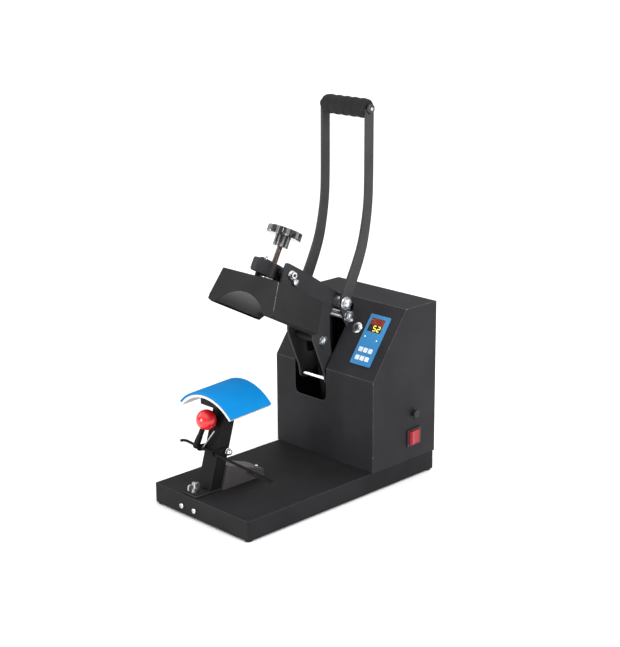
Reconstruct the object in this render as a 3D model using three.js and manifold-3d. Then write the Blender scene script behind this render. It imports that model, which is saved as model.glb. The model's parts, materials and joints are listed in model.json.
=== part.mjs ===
// Cap heat press, manual clamshell type: a curved heated head on a toggle arm closes on a curved pad.
// Millimetres. X is the operator's right, Y goes back, Z up.
import * as THREE from 'three';
import { mergeVertices } from 'three/addons/utils/BufferGeometryUtils.js';
import Module from 'manifold-3d';

const wasm = await Module();
wasm.setup();

// Shared sizes
const sheet = 1.5;
const gap = 0.3;
const overrun = 2;
const filletSteps = 4;
const roundSides = 20;
const boltSides = 12;
const filletReachShare = 0.495;
const hexSides = 6;
const pressX = -30;

// Base tray
const baseWidth = 228.6;
const baseDepth = 434.3;
const trayBottom = 3;
const deckTop = 36;
const trayCorner = 4;
const trayLip = 16;
const footRadius = 7;
const footInset = 9;
const baseScrewRadius = 2;
const baseScrewHeadRadius = 4.5;
const baseScrewHeadHeight = 2.6;
const baseScrewPitch = 30.5;
const baseScrewHeight = 16;
const baseScrewLength = 8;

// Tower housing
const towerOverhang = 1.45;
const towerHalfWidth = baseWidth / 2 + towerOverhang;
const towerDepth = 155.15;
const towerFront = baseDepth / 2 - towerDepth;
const pressAhead = 62;
const towerTop = 305;
const foldHeight = 196;
const ridgeBack = 79;
const ridgeY = towerFront + ridgeBack;
const slotLeft = 39;
const slotRight = 36;
const slotBottom = 137;
const slotTop = 296;
const slotCorner = 12;
const louvreCount = 9;
const louvreLength = 90;
const louvreWidth = 3;
const louvrePitch = 10;
const louvreBottom = 150;
const inletX = -70;
const inletHeight = 72;
const inletWidth = 48;
const inletTall = 28;
const inletFlange = 2.6;
const inletBodyWidth = 28;
const inletBodyTall = 21;
const inletBodyDepth = 24;
const inletRecessWall = 2.5;
const inletRecessDepth = 16;
const inletBladeWidth = 4;
const inletBladeThickness = 2;
const inletBladePitch = 7;

// Control panel on the slope
const panelLeft = 51;
const panelRight = 95.5;
const panelLow = 21.8;
const panelHigh = 112.9;
const panelProud = 2.5;
const panelCorner = 2;
const panelMargin = 4;
const controllerDepth = 42;
const windowLeft = 57;
const windowRight = 86.5;
const windowLow = 82;
const windowHigh = 106;
const buttonSize = 8.3;
const buttonHeight = 2.3;
const buttonTravel = 0.8;
const buttonFirstX = 62.3;
const buttonPitchX = 10.7;
const buttonLow = 33.8;
const buttonPitchS = 14.8;
const buttonColumns = 3;

// Switch and fuse on the right side
const switchBack = 100;
const switchY = towerFront + switchBack;
const switchZ = 76;
const switchWidth = 34;
const switchTall = 30;
const switchProud = 2.4;
const switchCorner = 1.5;
const rockerTall = 23.4;
const rockerRadius = 13;
const rockerPivotDepth = 2;
const rockerTilt = 8;
const rockerSideShares = [-0.35, 0.15, 0.42, 0.66];
const switchWall = 1.4;
const switchDepth = 18;
const fuseBack = 99;
const fuseY = towerFront + fuseBack;
const fuseZ = 119;
const fuseCollarRadius = 8;
const fuseCollarHeight = 1.4;
const fuseBodyRadius = 6;
const fuseBodyLength = 30;
const fuseCapRadius = 6.5;
const fuseCapHeight = 7;
const fuseCapFlutes = 12;
const fluteDepth = 0.5;
const fuseSlotWidth = 1.4;
const fuseSlotDepth = 1;

// Arm, its pivots and the toggle
const armPivotY = 139.4;
const armPivotZ = 86.1;
const handlePivotY = 91.3;
const handlePivotZ = 307.9;
const armInner = 28;
const armThickness = 4;
const armPivotRadius = 6;
const armPivotEye = 15;
const handlePivotRadius = 6;
const handlePivotEye = 14;
const armSpacerRadius = 9;
const crossRodY = 72;
const crossRodZ = 173.5;
const crossRodRadius = 3.5;
const legBoltY = 58.5;
const legBoltZ = 245;
const legBoltRadius = 4;
const legNutRadius = 8;
const legNutHeight = 6;
const legSleeveRadius = 6.5;
const linkLowY = 106;
const linkLowZ = 94;
const linkPinRadius = 4;
const linkPlay = 2.6;
const linkEyeAhead = 1.9;
const linkEyeUp = 1;
const linkHighRise = -23.9;
const linkHighBack = 5.9;
const linkShaftRadius = 5;
const linkHalfWidth = 8;
const linkEye = 10;
const linkLowEye = 12.5;
const linkWaist = 7;
const pinHeadRadius = 7;
const pinHeadHeight = 3;
const frameInner = 41;
const frameThickness = 3;
const frameFront = 88;
const frameRear = 162;
const frameFoot = 12;
const frameCrown = 16;

// Handle
const barInner = 48.7;
const barThickness = 4.5;
const barWidth = 18;
const barRootWidth = 23;
const barTailWidth = 14;
const gripY = 150.3;
const gripZ = 626.5;
const gripRadius = 16.4;
const gripRib = 1.1;
const gripRibs = 5;
const gripSamples = 25;
const gripEndFillet = 2.5;
const gripBoltRadius = 4;
const gripBoltHeadRadius = 8;
const gripBoltHeadHeight = 4;
const domeNutRadius = 11;
const domeNutFlange = 3;
const domeNutHeight = 11;
const domeWaistShare = 0.72;
const domeShoulderShare = 0.8;
const domeStepShare = 1.2;
const hexNutRadius = 9;
const hexNutHeight = 7;

// Head
const headFrontY = -72.8;
const headTopZ = 378.9;
const headTilt = 27.5;
const headLength = 112.3;
const headTopHalf = 66;
const headWideHalf = 76.6;
const headWideTop = 48;
const headWideLow = 55.6;
const headDepth = 59.1;
const headTopFillet = 3;
const headMouthHalf = 64.5;
const headMouthDepth = 10;
const archCrest = 29.7;
const archRadius = 75;
const platenCrest = 29.4;
const platenRadius = 88;
const platenThickness = 4;
const platenHalfAngle = 46;
const heaterThickness = 2;
const heaterHalfAngle = 40;
const heaterInset = 10;
const woolSide = 9.1;
const arcSteps = 20;
const collarRadius = 11;
const collarHeight = 4;
const guideBack = 22;
const guideRadius = 2.2;
const guideTop = 43;

// Tongue, pressure screw and knob
const tongueHalf = 5.5;
const tongueLow = 8;
const tongueHigh = 31;
const tongueEnd = 86;
const tongueNose = 5;
const tongueBoss = 9;
const screwBack = 43;
const screwRadius = 4.75;
const hubLow = 60;
const hubRadius = 13;
const hubFlutes = 10;
const hubFluteDepth = 1.2;
const hubBoreDepth = 12;
const discLow = 78;
const discHigh = 91;
const discRadius = 30;
const discLobes = 12;
const discLobeDepth = 2.6;
const discBevel = 1.6;
const frontBoltBack = 57;
const frontBoltUp = 22;
const rearBoltBack = 69.5;
const rearBoltUp = 13.3;
const tongueSleeve = 7;
const tongueBoltRadius = 4;
const frontBoltHead = 8;
const rearBoltHead = 5.5;
const frontBoltHeight = 8;
const rearBoltHeight = 4;

// Lower pad and its stand
const closeAngle = 30.5;
const padGap = 0.75;
const padHalfAngle = 47.6;
const padThickness = 3.8;
const padPlateThickness = 4.6;
const padFront = 13.4;
const padDepth = 87;
const bracketHalf = 20;
const bracketInset = 8;
const bracketHeight = 16;
const columnHalf = 16;
const columnDepth = 22;
const columnFootY = -184;
const columnLean = 16.5;
const columnBoltY = -147;
const columnBoltZ = 99.4;
const columnBoltRadius = 3;
const acornRadius = 6.5;
const acornHeight = 9;
const acornShoulderShare = 0.8;
const acornTipShare = 0.35;
const footPlateHalf = 18;
const footPlateThickness = 3;
const footPlateFront = -214;
const footPlateCorner = 5;
const channelRear = -70;
const channelHalf = 22;
const channelTop = 76;
const channelRearTop = 49;
const channelWall = 2.5;
const wingY = -204;
const wingStudRadius = 3;
const wingStudTop = 57;
const wingHubRadius = 5.5;
const wingHubHeight = 7;
const wingSpan = 12;
const wingRise = 8;
const wingThickness = 3;
const wingTipRadius = 4;

// Brim hold-down
const yokeThickness = 3;
const yokeWidth = 13;
const yokeEndShare = 0.417;
const rodY = -174.5;
const rodZ = 104;
const rodRadius = 2.5;
const rodLeft = -87;
const rodRight = 125.68;
const rodRoll = 3.5;
const rodReturn = 52;
const rodReturnPitch = 5.6;
const rodHookLength = 7;
const rodSteps = 8;
const rodSides = 8;
const stemRadius = 5.2;
const stemFootX = -52;
const stemFootY = -178.5;
const stemFootZ = 107;
const ballX = -37;
const ballY = -168;
const ballZ = 153;
const ballRadius = 17;
const stemSink = 11;

// Open stops on the slope
const stopOffset = 64.2;
const stopUp = 82.5;
const stopRadius = 10;
const stopHeight = 4;
const stopDome = 1.2;

const steel = (color, roughness, metalness) =>
  new THREE.MeshStandardMaterial({ color, roughness, metalness, flatShading: true });
const looks = {
  paint: steel(0x232427, 0.55, 0.3),
  deck: steel(0x2b2c2f, 0.6, 0.3),
  arm: steel(0x1c1d1f, 0.5, 0.4),
  zinc: steel(0xb9bcc0, 0.35, 0.9),
  chrome: steel(0xdadcdf, 0.15, 1),
  bronze: steel(0x8d7440, 0.4, 0.9),
  aluminium: steel(0xb4b6b8, 0.4, 0.8),
  platen: steel(0xc9cacb, 0.25, 0.9),
  rubber: steel(0x141414, 0.9, 0),
  plastic: steel(0x17181a, 0.45, 0),
  blue: steel(0x1b45b8, 0.55, 0),
  panel: steel(0x1d3f9b, 0.4, 0),
  white: steel(0xe9e9e6, 0.5, 0),
  red: steel(0xb5161b, 0.3, 0),
  glass: steel(0x2a0a0c, 0.1, 0),
  wool: steel(0xc9c2b0, 0.95, 0),
};

const degrees = THREE.MathUtils.degToRad;
const X = new THREE.Vector3(1, 0, 0);
const Y = new THREE.Vector3(0, 1, 0);
const Z = new THREE.Vector3(0, 0, 1);
const p2 = (u, v) => new THREE.Vector2(u, v);

function named(name, geometry, look) {
  const mesh = new THREE.Mesh(geometry, look);
  mesh.name = name;
  return mesh;
}

// Turns a closed outline's corners into arcs; a radius of 0 keeps the corner.
function filleted(corners, radii) {
  const out = [];
  corners.forEach((corner, i) => {
    const radius = Array.isArray(radii) ? radii[i] : radii;
    const before = corners[(i + corners.length - 1) % corners.length];
    const after = corners[(i + 1) % corners.length];
    const a = before.clone().sub(corner);
    const b = after.clone().sub(corner);
    const half = a.clone().normalize().angleTo(b.clone().normalize()) / 2;
    if (!radius || Math.abs(Math.cos(half)) < Number.EPSILON ** 0.5) {
      out.push(corner.clone());
      return;
    }
    const reach = Math.min(radius / Math.tan(half), a.length() * filletReachShare,
      b.length() * filletReachShare);
    const start = corner.clone().add(a.clone().setLength(reach));
    const end = corner.clone().add(b.clone().setLength(reach));
    for (let k = 0; k <= filletSteps; k += 1) {
      const t = k / filletSteps;
      const first = start.clone().lerp(corner, t);
      const second = corner.clone().lerp(end, t);
      out.push(first.lerp(second, t));
    }
  });
  return out;
}

// Moves every side of a closed outline inwards by a distance.
function inset(corners, distance) {
  const sign = THREE.ShapeUtils.area(corners) > 0 ? 1 : -1;
  return corners.map((corner, i) => {
    const a = corner.clone().sub(corners[(i + corners.length - 1) % corners.length]).normalize();
    const b = corners[(i + 1) % corners.length].clone().sub(corner).normalize();
    const na = p2(-a.y, a.x).multiplyScalar(sign);
    const nb = p2(-b.y, b.x).multiplyScalar(sign);
    const middle = na.clone().add(nb);
    return corner.clone().add(middle.multiplyScalar(distance * 2 / middle.lengthSq()));
  });
}

const rectangle = (u0, u1, v0, v1) => [p2(u0, v0), p2(u1, v0), p2(u1, v1), p2(u0, v1)];

function circle(u, v, radius, sides) {
  const out = [];
  for (let k = 0; k < sides; k += 1) {
    const a = 2 * Math.PI * (k + 0.5) / sides;
    out.push(p2(u + radius * Math.cos(a), v + radius * Math.sin(a)));
  }
  return out;
}

function arc(u, v, radius, from, to, steps) {
  const out = [];
  for (let k = 0; k <= steps; k += 1) {
    const a = from + (to - from) * k / steps;
    out.push(p2(u + radius * Math.sin(a), v + radius * Math.cos(a)));
  }
  return out;
}

// A bolt hole's polygon clears the bolt's circle all round.
const holeRadius = (radius, sides) => (radius + gap) / Math.cos(Math.PI / sides);

function extruded(outline, depth, holes = []) {
  const shape = new THREE.Shape(outline);
  shape.holes = holes.map((hole) => new THREE.Path(hole));
  return new THREE.ExtrudeGeometry(shape, { depth, bevelEnabled: false });
}

function alongX(outline, x0, x1, holes) {
  const basis = new THREE.Matrix4().makeBasis(Y, Z, X);
  return extruded(outline, x1 - x0, holes).applyMatrix4(basis).translate(x0, 0, 0);
}

function alongY(outline, y0, y1, holes) {
  const basis = new THREE.Matrix4().makeBasis(X, Z, Y.clone().negate());
  return extruded(outline, y1 - y0, holes).applyMatrix4(basis).translate(0, y1, 0);
}

function alongZ(outline, z0, z1, holes) {
  return extruded(outline, z1 - z0, holes).translate(0, 0, z0);
}

const block = (x0, x1, y0, y1, z0, z1) => alongZ(rectangle(x0, x1, y0, y1), z0, z1);

// A revolved profile of [radius, height] pairs, from one end of the axis to the other.
function revolved(profile, sides) {
  const points = profile.map(([r, h]) => p2(r, h));
  return new THREE.LatheGeometry(points, sides);
}

const turnedX = (geometry) => geometry.rotateZ(-Math.PI / 2);
const turnedZ = (geometry) => geometry.rotateX(Math.PI / 2);

function toSolid(geometry) {
  const bare = geometry.clone();
  bare.deleteAttribute('normal');
  bare.deleteAttribute('uv');
  const merged = mergeVertices(bare);
  const index = merged.index.array;
  const kept = [];
  for (let i = 0; i < index.length; i += 3) {
    const [a, b, c] = [index[i], index[i + 1], index[i + 2]];
    if (a !== b && b !== c && c !== a) kept.push(a, b, c);
  }
  const solid = new wasm.Manifold(new wasm.Mesh({
    numProp: 3,
    vertProperties: new Float32Array(merged.attributes.position.array),
    triVerts: new Uint32Array(kept),
  }));
  return solid;
}

function toGeometry(solid) {
  const mesh = solid.getMesh();
  const geometry = new THREE.BufferGeometry();
  geometry.setAttribute('position', new THREE.BufferAttribute(mesh.vertProperties, 3));
  geometry.setIndex(new THREE.BufferAttribute(mesh.triVerts, 1));
  return geometry;
}

const cut = (geometry, ...tools) =>
  toGeometry(tools.reduce((solid, tool) => solid.subtract(toSolid(tool)), toSolid(geometry)));
const joined = (geometry, ...others) =>
  toGeometry(others.reduce((solid, other) => solid.add(toSolid(other)), toSolid(geometry)));

// A straight pin along X with a head or nut at each end.
function pinAlongX(y, z, radius, steps, sides) {
  const profile = [[0, steps[0][1]]];
  steps.forEach(([r, from, to]) => profile.push([r, from], [r, to]));
  profile.push([0, steps[steps.length - 1][2]]);
  return turnedX(revolved(profile, sides)).translate(0, y, z);
}

const slopeAngle = Math.atan2(towerTop - foldHeight, ridgeY - towerFront);
const slopeMatrix = new THREE.Matrix4().makeRotationX(slopeAngle).setPosition(0, towerFront, foldHeight);
const floorLevel = deckTop + gap;

const root = new THREE.Group();
const slope = new THREE.Group();
slope.position.set(0, towerFront, foldHeight);
slope.rotation.x = slopeAngle;
const press = new THREE.Group();
press.position.set(pressX, towerFront - pressAhead, 0);
const head = new THREE.Group();
head.position.set(0, headFrontY, headTopZ);
head.rotation.x = -degrees(headTilt);
press.add(head);
root.add(slope, press);

function addBase() {
  const halfWidth = baseWidth / 2;
  const halfDepth = baseDepth / 2;
  const outer = filleted(rectangle(-halfWidth, halfWidth, -halfDepth, halfDepth), trayCorner);
  const hollow = filleted(inset(rectangle(-halfWidth, halfWidth, -halfDepth, halfDepth), sheet),
    trayCorner - sheet);
  const mouth = inset(rectangle(-halfWidth, halfWidth, -halfDepth, halfDepth), trayLip);
  const screws = [-baseScrewPitch / 2, baseScrewPitch / 2].map((x) => pressX + x);
  const holes = screws.map((x) => alongY(
    circle(x, baseScrewHeight, holeRadius(baseScrewRadius, hexSides + 2), hexSides + 2),
    -halfDepth - overrun, -halfDepth + sheet + overrun));
  root.add(named('base_tray', cut(
    alongZ(outer, trayBottom, deckTop),
    alongZ(hollow, trayBottom + sheet, deckTop - sheet),
    alongZ(mouth, trayBottom - overrun, trayBottom + sheet + overrun),
    ...holes), looks.deck));
  let count = 0;
  [-1, 1].forEach((side) => [-1, 1].forEach((end) => {
    count += 1;
    const foot = turnedZ(revolved([[0, 0], [footRadius, 0], [footRadius, trayBottom - gap],
      [0, trayBottom - gap]], roundSides));
    foot.translate(side * (halfWidth - footInset), end * (halfDepth - footInset), 0);
    root.add(named(`base_foot_${count}`, foot, looks.rubber));
  }));
  screws.forEach((x, i) => {
    const face = halfDepth + gap;
    const profile = [[0, -face - baseScrewHeadHeight], [baseScrewHeadRadius / 2, -face - baseScrewHeadHeight],
      [baseScrewHeadRadius, -face - sheet / 2], [baseScrewHeadRadius, -face],
      [baseScrewRadius, -face], [baseScrewRadius, -face + baseScrewLength], [0, -face + baseScrewLength]];
    const screw = revolved(profile, boltSides).translate(x, 0, baseScrewHeight);
    root.add(named(`base_screw_${i + 1}`, screw, looks.zinc));
  });
}

function towerOutline(rear, bottom) {
  return [p2(towerFront, bottom), p2(rear, bottom), p2(rear, towerTop), p2(ridgeY, towerTop),
    p2(towerFront, foldHeight)];
}

function addTower() {
  const rear = baseDepth / 2;
  const outer = alongX(towerOutline(rear, floorLevel), -towerHalfWidth, towerHalfWidth);
  const hollow = alongX(inset(towerOutline(rear + sheet + overrun, floorLevel - sheet - overrun), sheet),
    -towerHalfWidth + sheet, towerHalfWidth - sheet);
  const slot = alongY(filleted(rectangle(pressX - slotLeft, pressX + slotRight, slotBottom, slotTop),
    slotCorner), towerFront - overrun, ridgeY + overrun);
  const controllerHole = block(panelLeft + panelMargin - gap, panelRight - panelMargin + gap,
    panelLow + panelMargin - gap, panelHigh - panelMargin + gap, -sheet - overrun, overrun)
    .applyMatrix4(slopeMatrix);
  const switchHole = alongX(rectangle(
    switchY - rockerRadius - switchWall - gap - gap, switchY + rockerRadius + switchWall + gap + gap,
    switchZ - rockerTall / 2 - switchWall - gap - gap, switchZ + rockerTall / 2 + switchWall + gap + gap),
  towerHalfWidth - sheet - overrun, towerHalfWidth + overrun);
  const fuseHole = alongX(circle(fuseY, fuseZ, holeRadius(fuseBodyRadius, boltSides), boltSides),
    towerHalfWidth - sheet - overrun, towerHalfWidth + overrun);
  root.add(named('tower_housing', cut(outer, hollow, slot, controllerHole, switchHole, fuseHole),
    looks.paint));

  const half = towerHalfWidth - sheet - gap;
  const louvres = [];
  for (let k = 0; k < louvreCount; k += 1) {
    const z = louvreBottom + k * louvrePitch;
    louvres.push(filleted(rectangle(-louvreLength / 2, louvreLength / 2, z, z + louvreWidth), louvreWidth / 2));
  }
  const bodyHole = rectangle(inletX - inletBodyWidth / 2 - gap, inletX + inletBodyWidth / 2 + gap,
    inletHeight - inletBodyTall / 2 - gap, inletHeight + inletBodyTall / 2 + gap);
  root.add(named('rear_panel', alongY(
    rectangle(-half, half, floorLevel, towerTop - sheet - gap), rear - sheet, rear,
    [...louvres, bodyHole]), looks.paint));
}

function addInlet() {
  const rear = baseDepth / 2 + gap;
  const flange = alongY(filleted(rectangle(inletX - inletWidth / 2, inletX + inletWidth / 2,
    inletHeight - inletTall / 2, inletHeight + inletTall / 2), trayCorner), rear, rear + inletFlange);
  const bodyOutline = rectangle(inletX - inletBodyWidth / 2, inletX + inletBodyWidth / 2,
    inletHeight - inletBodyTall / 2, inletHeight + inletBodyTall / 2);
  const body = alongY(bodyOutline, rear + inletFlange - inletBodyDepth, rear + inletFlange);
  const recess = alongY(filleted(inset(bodyOutline, inletRecessWall), trayCorner),
    rear + inletFlange - inletRecessDepth, rear + inletFlange + overrun);
  const blades = [-1, 0, 1].map((side) => alongY(rectangle(
    inletX + side * inletBladePitch - inletBladeThickness / 2,
    inletX + side * inletBladePitch + inletBladeThickness / 2,
    inletHeight - inletBladeWidth / 2 + (side ? -1 : 1) * inletBladeThickness,
    inletHeight + inletBladeWidth / 2 + (side ? -1 : 1) * inletBladeThickness),
  rear + inletFlange - inletRecessDepth - overrun, rear + inletFlange - inletRecessDepth / 4));
  const shell = toSolid(flange).add(toSolid(body)).subtract(toSolid(recess));
  const inlet = blades.reduce((solid, blade) => solid.add(toSolid(blade)), shell);
  root.add(named('power_inlet', toGeometry(inlet), looks.plastic));
}

function addControls() {
  const windowHole = rectangle(windowLeft - gap, windowRight + gap, windowLow - gap, windowHigh + gap);
  const buttons = [];
  for (let k = 0; k < 2 * buttonColumns; k += 1) {
    buttons.push([buttonFirstX + (k % buttonColumns) * buttonPitchX,
      buttonLow + Math.floor(k / buttonColumns) * buttonPitchS]);
  }
  const buttonSquare = ([x, s], grow) => rectangle(x - buttonSize / 2 - grow, x + buttonSize / 2 + grow,
    s - buttonSize / 2 - grow, s + buttonSize / 2 + grow);
  const panelHoles = [windowHole, ...buttons.map((place) => buttonSquare(place, gap))];
  slope.add(named('control_panel', cut(alongZ(
    filleted(rectangle(panelLeft, panelRight, panelLow, panelHigh), panelCorner), gap, panelProud),
  ...panelHoles.map((hole) => alongZ(hole, gap - overrun, panelProud + overrun))), looks.panel));
  slope.add(named('controller_box', block(panelLeft + panelMargin, panelRight - panelMargin,
    panelLow + panelMargin, panelHigh - panelMargin, -controllerDepth, 0), looks.plastic));
  slope.add(named('display_window', block(windowLeft, windowRight, windowLow, windowHigh,
    gap, panelProud), looks.glass));
  const buttonFoot = buttonTravel + gap;
  buttons.forEach((place, i) => slope.add(named(`button_${i + 1}`,
    alongZ(filleted(buttonSquare(place, 0), panelCorner / 2), buttonFoot, buttonFoot + buttonHeight),
    looks.white)));
  [-1, 1].forEach((side) => {
    const stop = turnedZ(revolved([[0, gap], [stopRadius, gap], [stopRadius, stopHeight - stopDome],
      [stopRadius - stopDome, stopHeight], [0, stopHeight]], roundSides));
    stop.translate(pressX + side * stopOffset, stopUp, 0);
    slope.add(named(side < 0 ? 'panel_stop_left' : 'panel_stop_right', stop, looks.chrome));
  });
}

function addSwitch() {
  const face = towerHalfWidth + gap;
  const wellY = rockerRadius + gap;
  const wellZ = rockerTall / 2 + gap;
  const bezel = alongX(filleted(rectangle(switchY - switchWidth / 2, switchY + switchWidth / 2,
    switchZ - switchTall / 2, switchZ + switchTall / 2), switchCorner), face, face + switchProud);
  const body = alongX(inset(rectangle(switchY - wellY, switchY + wellY, switchZ - wellZ, switchZ + wellZ),
    -switchWall), face - switchDepth, face + switchProud);
  const well = alongX(rectangle(switchY - wellY, switchY + wellY, switchZ - wellZ, switchZ + wellZ),
    face - switchDepth + switchWall, face + switchProud + overrun);
  root.add(named('switch_bezel', toGeometry(toSolid(bezel).add(toSolid(body)).subtract(toSolid(well))),
    looks.plastic));
  // Rocker: sides are arcs about its own pivot, top a shallow V.
  const pivot = face - rockerPivotDepth;
  const side = rockerSideShares.map((a) => p2(rockerRadius * Math.cos(a), rockerRadius * Math.sin(a)));
  const crown = p2(0, side[side.length - 1].y - rockerPivotDepth);
  const mirror = side.map((p) => p2(-p.x, p.y)).reverse();
  const outline = [...side, crown, ...mirror];
  const turned = outline.map((p) => p.clone().rotateAround(p2(0, 0), degrees(rockerTilt)));
  const rocker = alongZ(turned.map((p) => p2(p.y, -p.x)), -rockerTall / 2, rockerTall / 2)
    .translate(pivot, switchY, switchZ);
  root.add(named('rocker_switch', rocker, looks.red));

  const holder = turnedX(revolved([[0, face - fuseBodyLength], [fuseBodyRadius, face - fuseBodyLength],
    [fuseBodyRadius, face], [fuseCollarRadius, face], [fuseCollarRadius, face + fuseCollarHeight],
    [0, face + fuseCollarHeight]], boltSides)).translate(0, fuseY, fuseZ);
  root.add(named('fuse_holder', holder, looks.plastic));
  const capFoot = face + fuseCollarHeight + gap;
  const samples = fuseCapFlutes * 2;
  const capOutline = [];
  for (let k = 0; k < samples; k += 1) {
    const a = 2 * Math.PI * k / samples;
    const r = fuseCapRadius - (k % 2) * fluteDepth;
    capOutline.push(p2(fuseY + r * Math.cos(a), fuseZ + r * Math.sin(a)));
  }
  root.add(named('fuse_cap', cut(alongX(capOutline, capFoot, capFoot + fuseCapHeight),
    alongX(rectangle(fuseY - fuseCapRadius - overrun, fuseY + fuseCapRadius + overrun,
      fuseZ - fuseSlotWidth / 2, fuseZ + fuseSlotWidth / 2),
    capFoot + fuseCapHeight - fuseSlotDepth, capFoot + fuseCapHeight + overrun)), looks.plastic));
}

// Arm outline: [back from the main pivot, up from it, corner fillet], all as shares of the rise
// between the two pivots; the lower part is a swan neck that clears the edge of the tower's slot.
const armOutlineShares = [
  [-0.7255, 1.3931, 0.027], [-0.546, 1.289, 0.07], [-0.182, 1.0528, 0.02], [-0.2516, 0.9473, 0.01],
  [-0.2836, 0.8968, 0.05], [-0.2886, 0.7376, 0.2], [-0.2575, 0.5311, 0.05], [-0.1235, 0.5541, 0.08],
  [-0.0198, 0.527, 0.08], [0.0478, 0.4233, 0.08], [0.0676, 0, 0], [-0.0631, 0.02, 0.02],
  [-0.1416, 0.4211, 0.04], [-0.1781, 0.3995, 0.02], [-0.2254, 0.3747, 0.02], [-0.2692, 0.3445, 0.02],
  [-0.3309, 0.3602, 0.036], [-0.3445, 0.4549, 0.09], [-0.4594, 0.7345, 0.14], [-0.4734, 1.079, 0.06],
  [-0.7894, 1.2451, 0.02],
];

function addArm() {
  const rise = handlePivotZ - armPivotZ;
  const corners = armOutlineShares.map(([y, z]) => p2(armPivotY + y * rise, armPivotZ + z * rise));
  const fillets = armOutlineShares.map(([, , radius]) => radius * rise);
  const outline = filleted(corners, fillets);
  const back = p2(Math.cos(degrees(headTilt)), -Math.sin(degrees(headTilt)));
  const up = p2(Math.sin(degrees(headTilt)), Math.cos(degrees(headTilt)));
  const headPlace = (b, c) => p2(headFrontY, headTopZ).addScaledVector(back, b).addScaledVector(up, c);
  const frontBolt = headPlace(frontBoltBack, frontBoltUp);
  const rearBolt = headPlace(rearBoltBack, rearBoltUp);
  const bores = [
    [armPivotY, armPivotZ, armPivotRadius], [handlePivotY, handlePivotZ, handlePivotRadius],
    [crossRodY, crossRodZ, crossRodRadius], [legBoltY, legBoltZ, legBoltRadius],
    [frontBolt.x, frontBolt.y, tongueBoltRadius], [rearBolt.x, rearBolt.y, tongueBoltRadius],
  ];
  [['arm_plate_left', -armInner - armThickness, -armInner], ['arm_plate_right', armInner, armInner + armThickness]]
    .forEach(([name, x0, x1]) => {
      const eyes = [[armPivotY, armPivotZ, armPivotEye], [handlePivotY, handlePivotZ, handlePivotEye]]
        .map(([y, z, r]) => toSolid(alongX(circle(y, z, r, roundSides + 4), x0, x1)));
      let plate = toSolid(alongX(outline, x0, x1));
      eyes.forEach((eye) => { plate = plate.add(eye); });
      bores.forEach(([y, z, r]) => {
        plate = plate.subtract(toSolid(alongX(circle(y, z, holeRadius(r, boltSides), boltSides),
          x0 - overrun, x1 + overrun)));
      });
      press.add(named(name, toGeometry(plate), looks.arm));
    });
  const armOuter = armInner + armThickness;
  const barOuter = barInner + barThickness;
  press.add(named('cross_rod', pinAlongX(crossRodY, crossRodZ, crossRodRadius,
    [[crossRodRadius, -armOuter - sheet, armOuter + sheet]], boltSides), looks.zinc));
  press.add(named('leg_bolt', pinAlongX(legBoltY, legBoltZ, legBoltRadius, [
    [legNutRadius, -armOuter - gap - legNutHeight, -armOuter - gap],
    [legBoltRadius, -armOuter - gap, -armInner + gap],
    [legSleeveRadius, -armInner + gap, armInner - gap],
    [legBoltRadius, armInner - gap, armOuter + gap],
    [legNutRadius, armOuter + gap, armOuter + gap + legNutHeight]], boltSides), looks.zinc));
  press.add(named('handle_pivot_shaft', pinAlongX(handlePivotY, handlePivotZ, handlePivotRadius, [
    [domeNutRadius / 3, -barOuter - gap - domeNutHeight, -barOuter - gap - domeNutHeight],
    [domeNutRadius * domeWaistShare, -barOuter - gap - domeNutHeight * domeShoulderShare, -barOuter - gap - domeNutFlange * domeStepShare],
    [domeNutRadius, -barOuter - gap - domeNutFlange, -barOuter - gap],
    [handlePivotRadius, -barOuter - gap, -barInner + gap],
    [armSpacerRadius, -barInner + gap, -armOuter - gap],
    [handlePivotRadius, -armOuter - gap, -armInner + gap],
    [armSpacerRadius, -armInner + gap, armInner - gap],
    [handlePivotRadius, armInner - gap, armOuter + gap],
    [armSpacerRadius, armOuter + gap, barInner - gap],
    [handlePivotRadius, barInner - gap, barOuter + gap],
    [domeNutRadius, barOuter + gap, barOuter + gap + domeNutFlange],
    [domeNutRadius * domeWaistShare, barOuter + gap + domeNutFlange * domeStepShare, barOuter + gap + domeNutHeight * domeShoulderShare],
    [domeNutRadius / 3, barOuter + gap + domeNutHeight, barOuter + gap + domeNutHeight],
  ], boltSides), looks.zinc));
}

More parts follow.
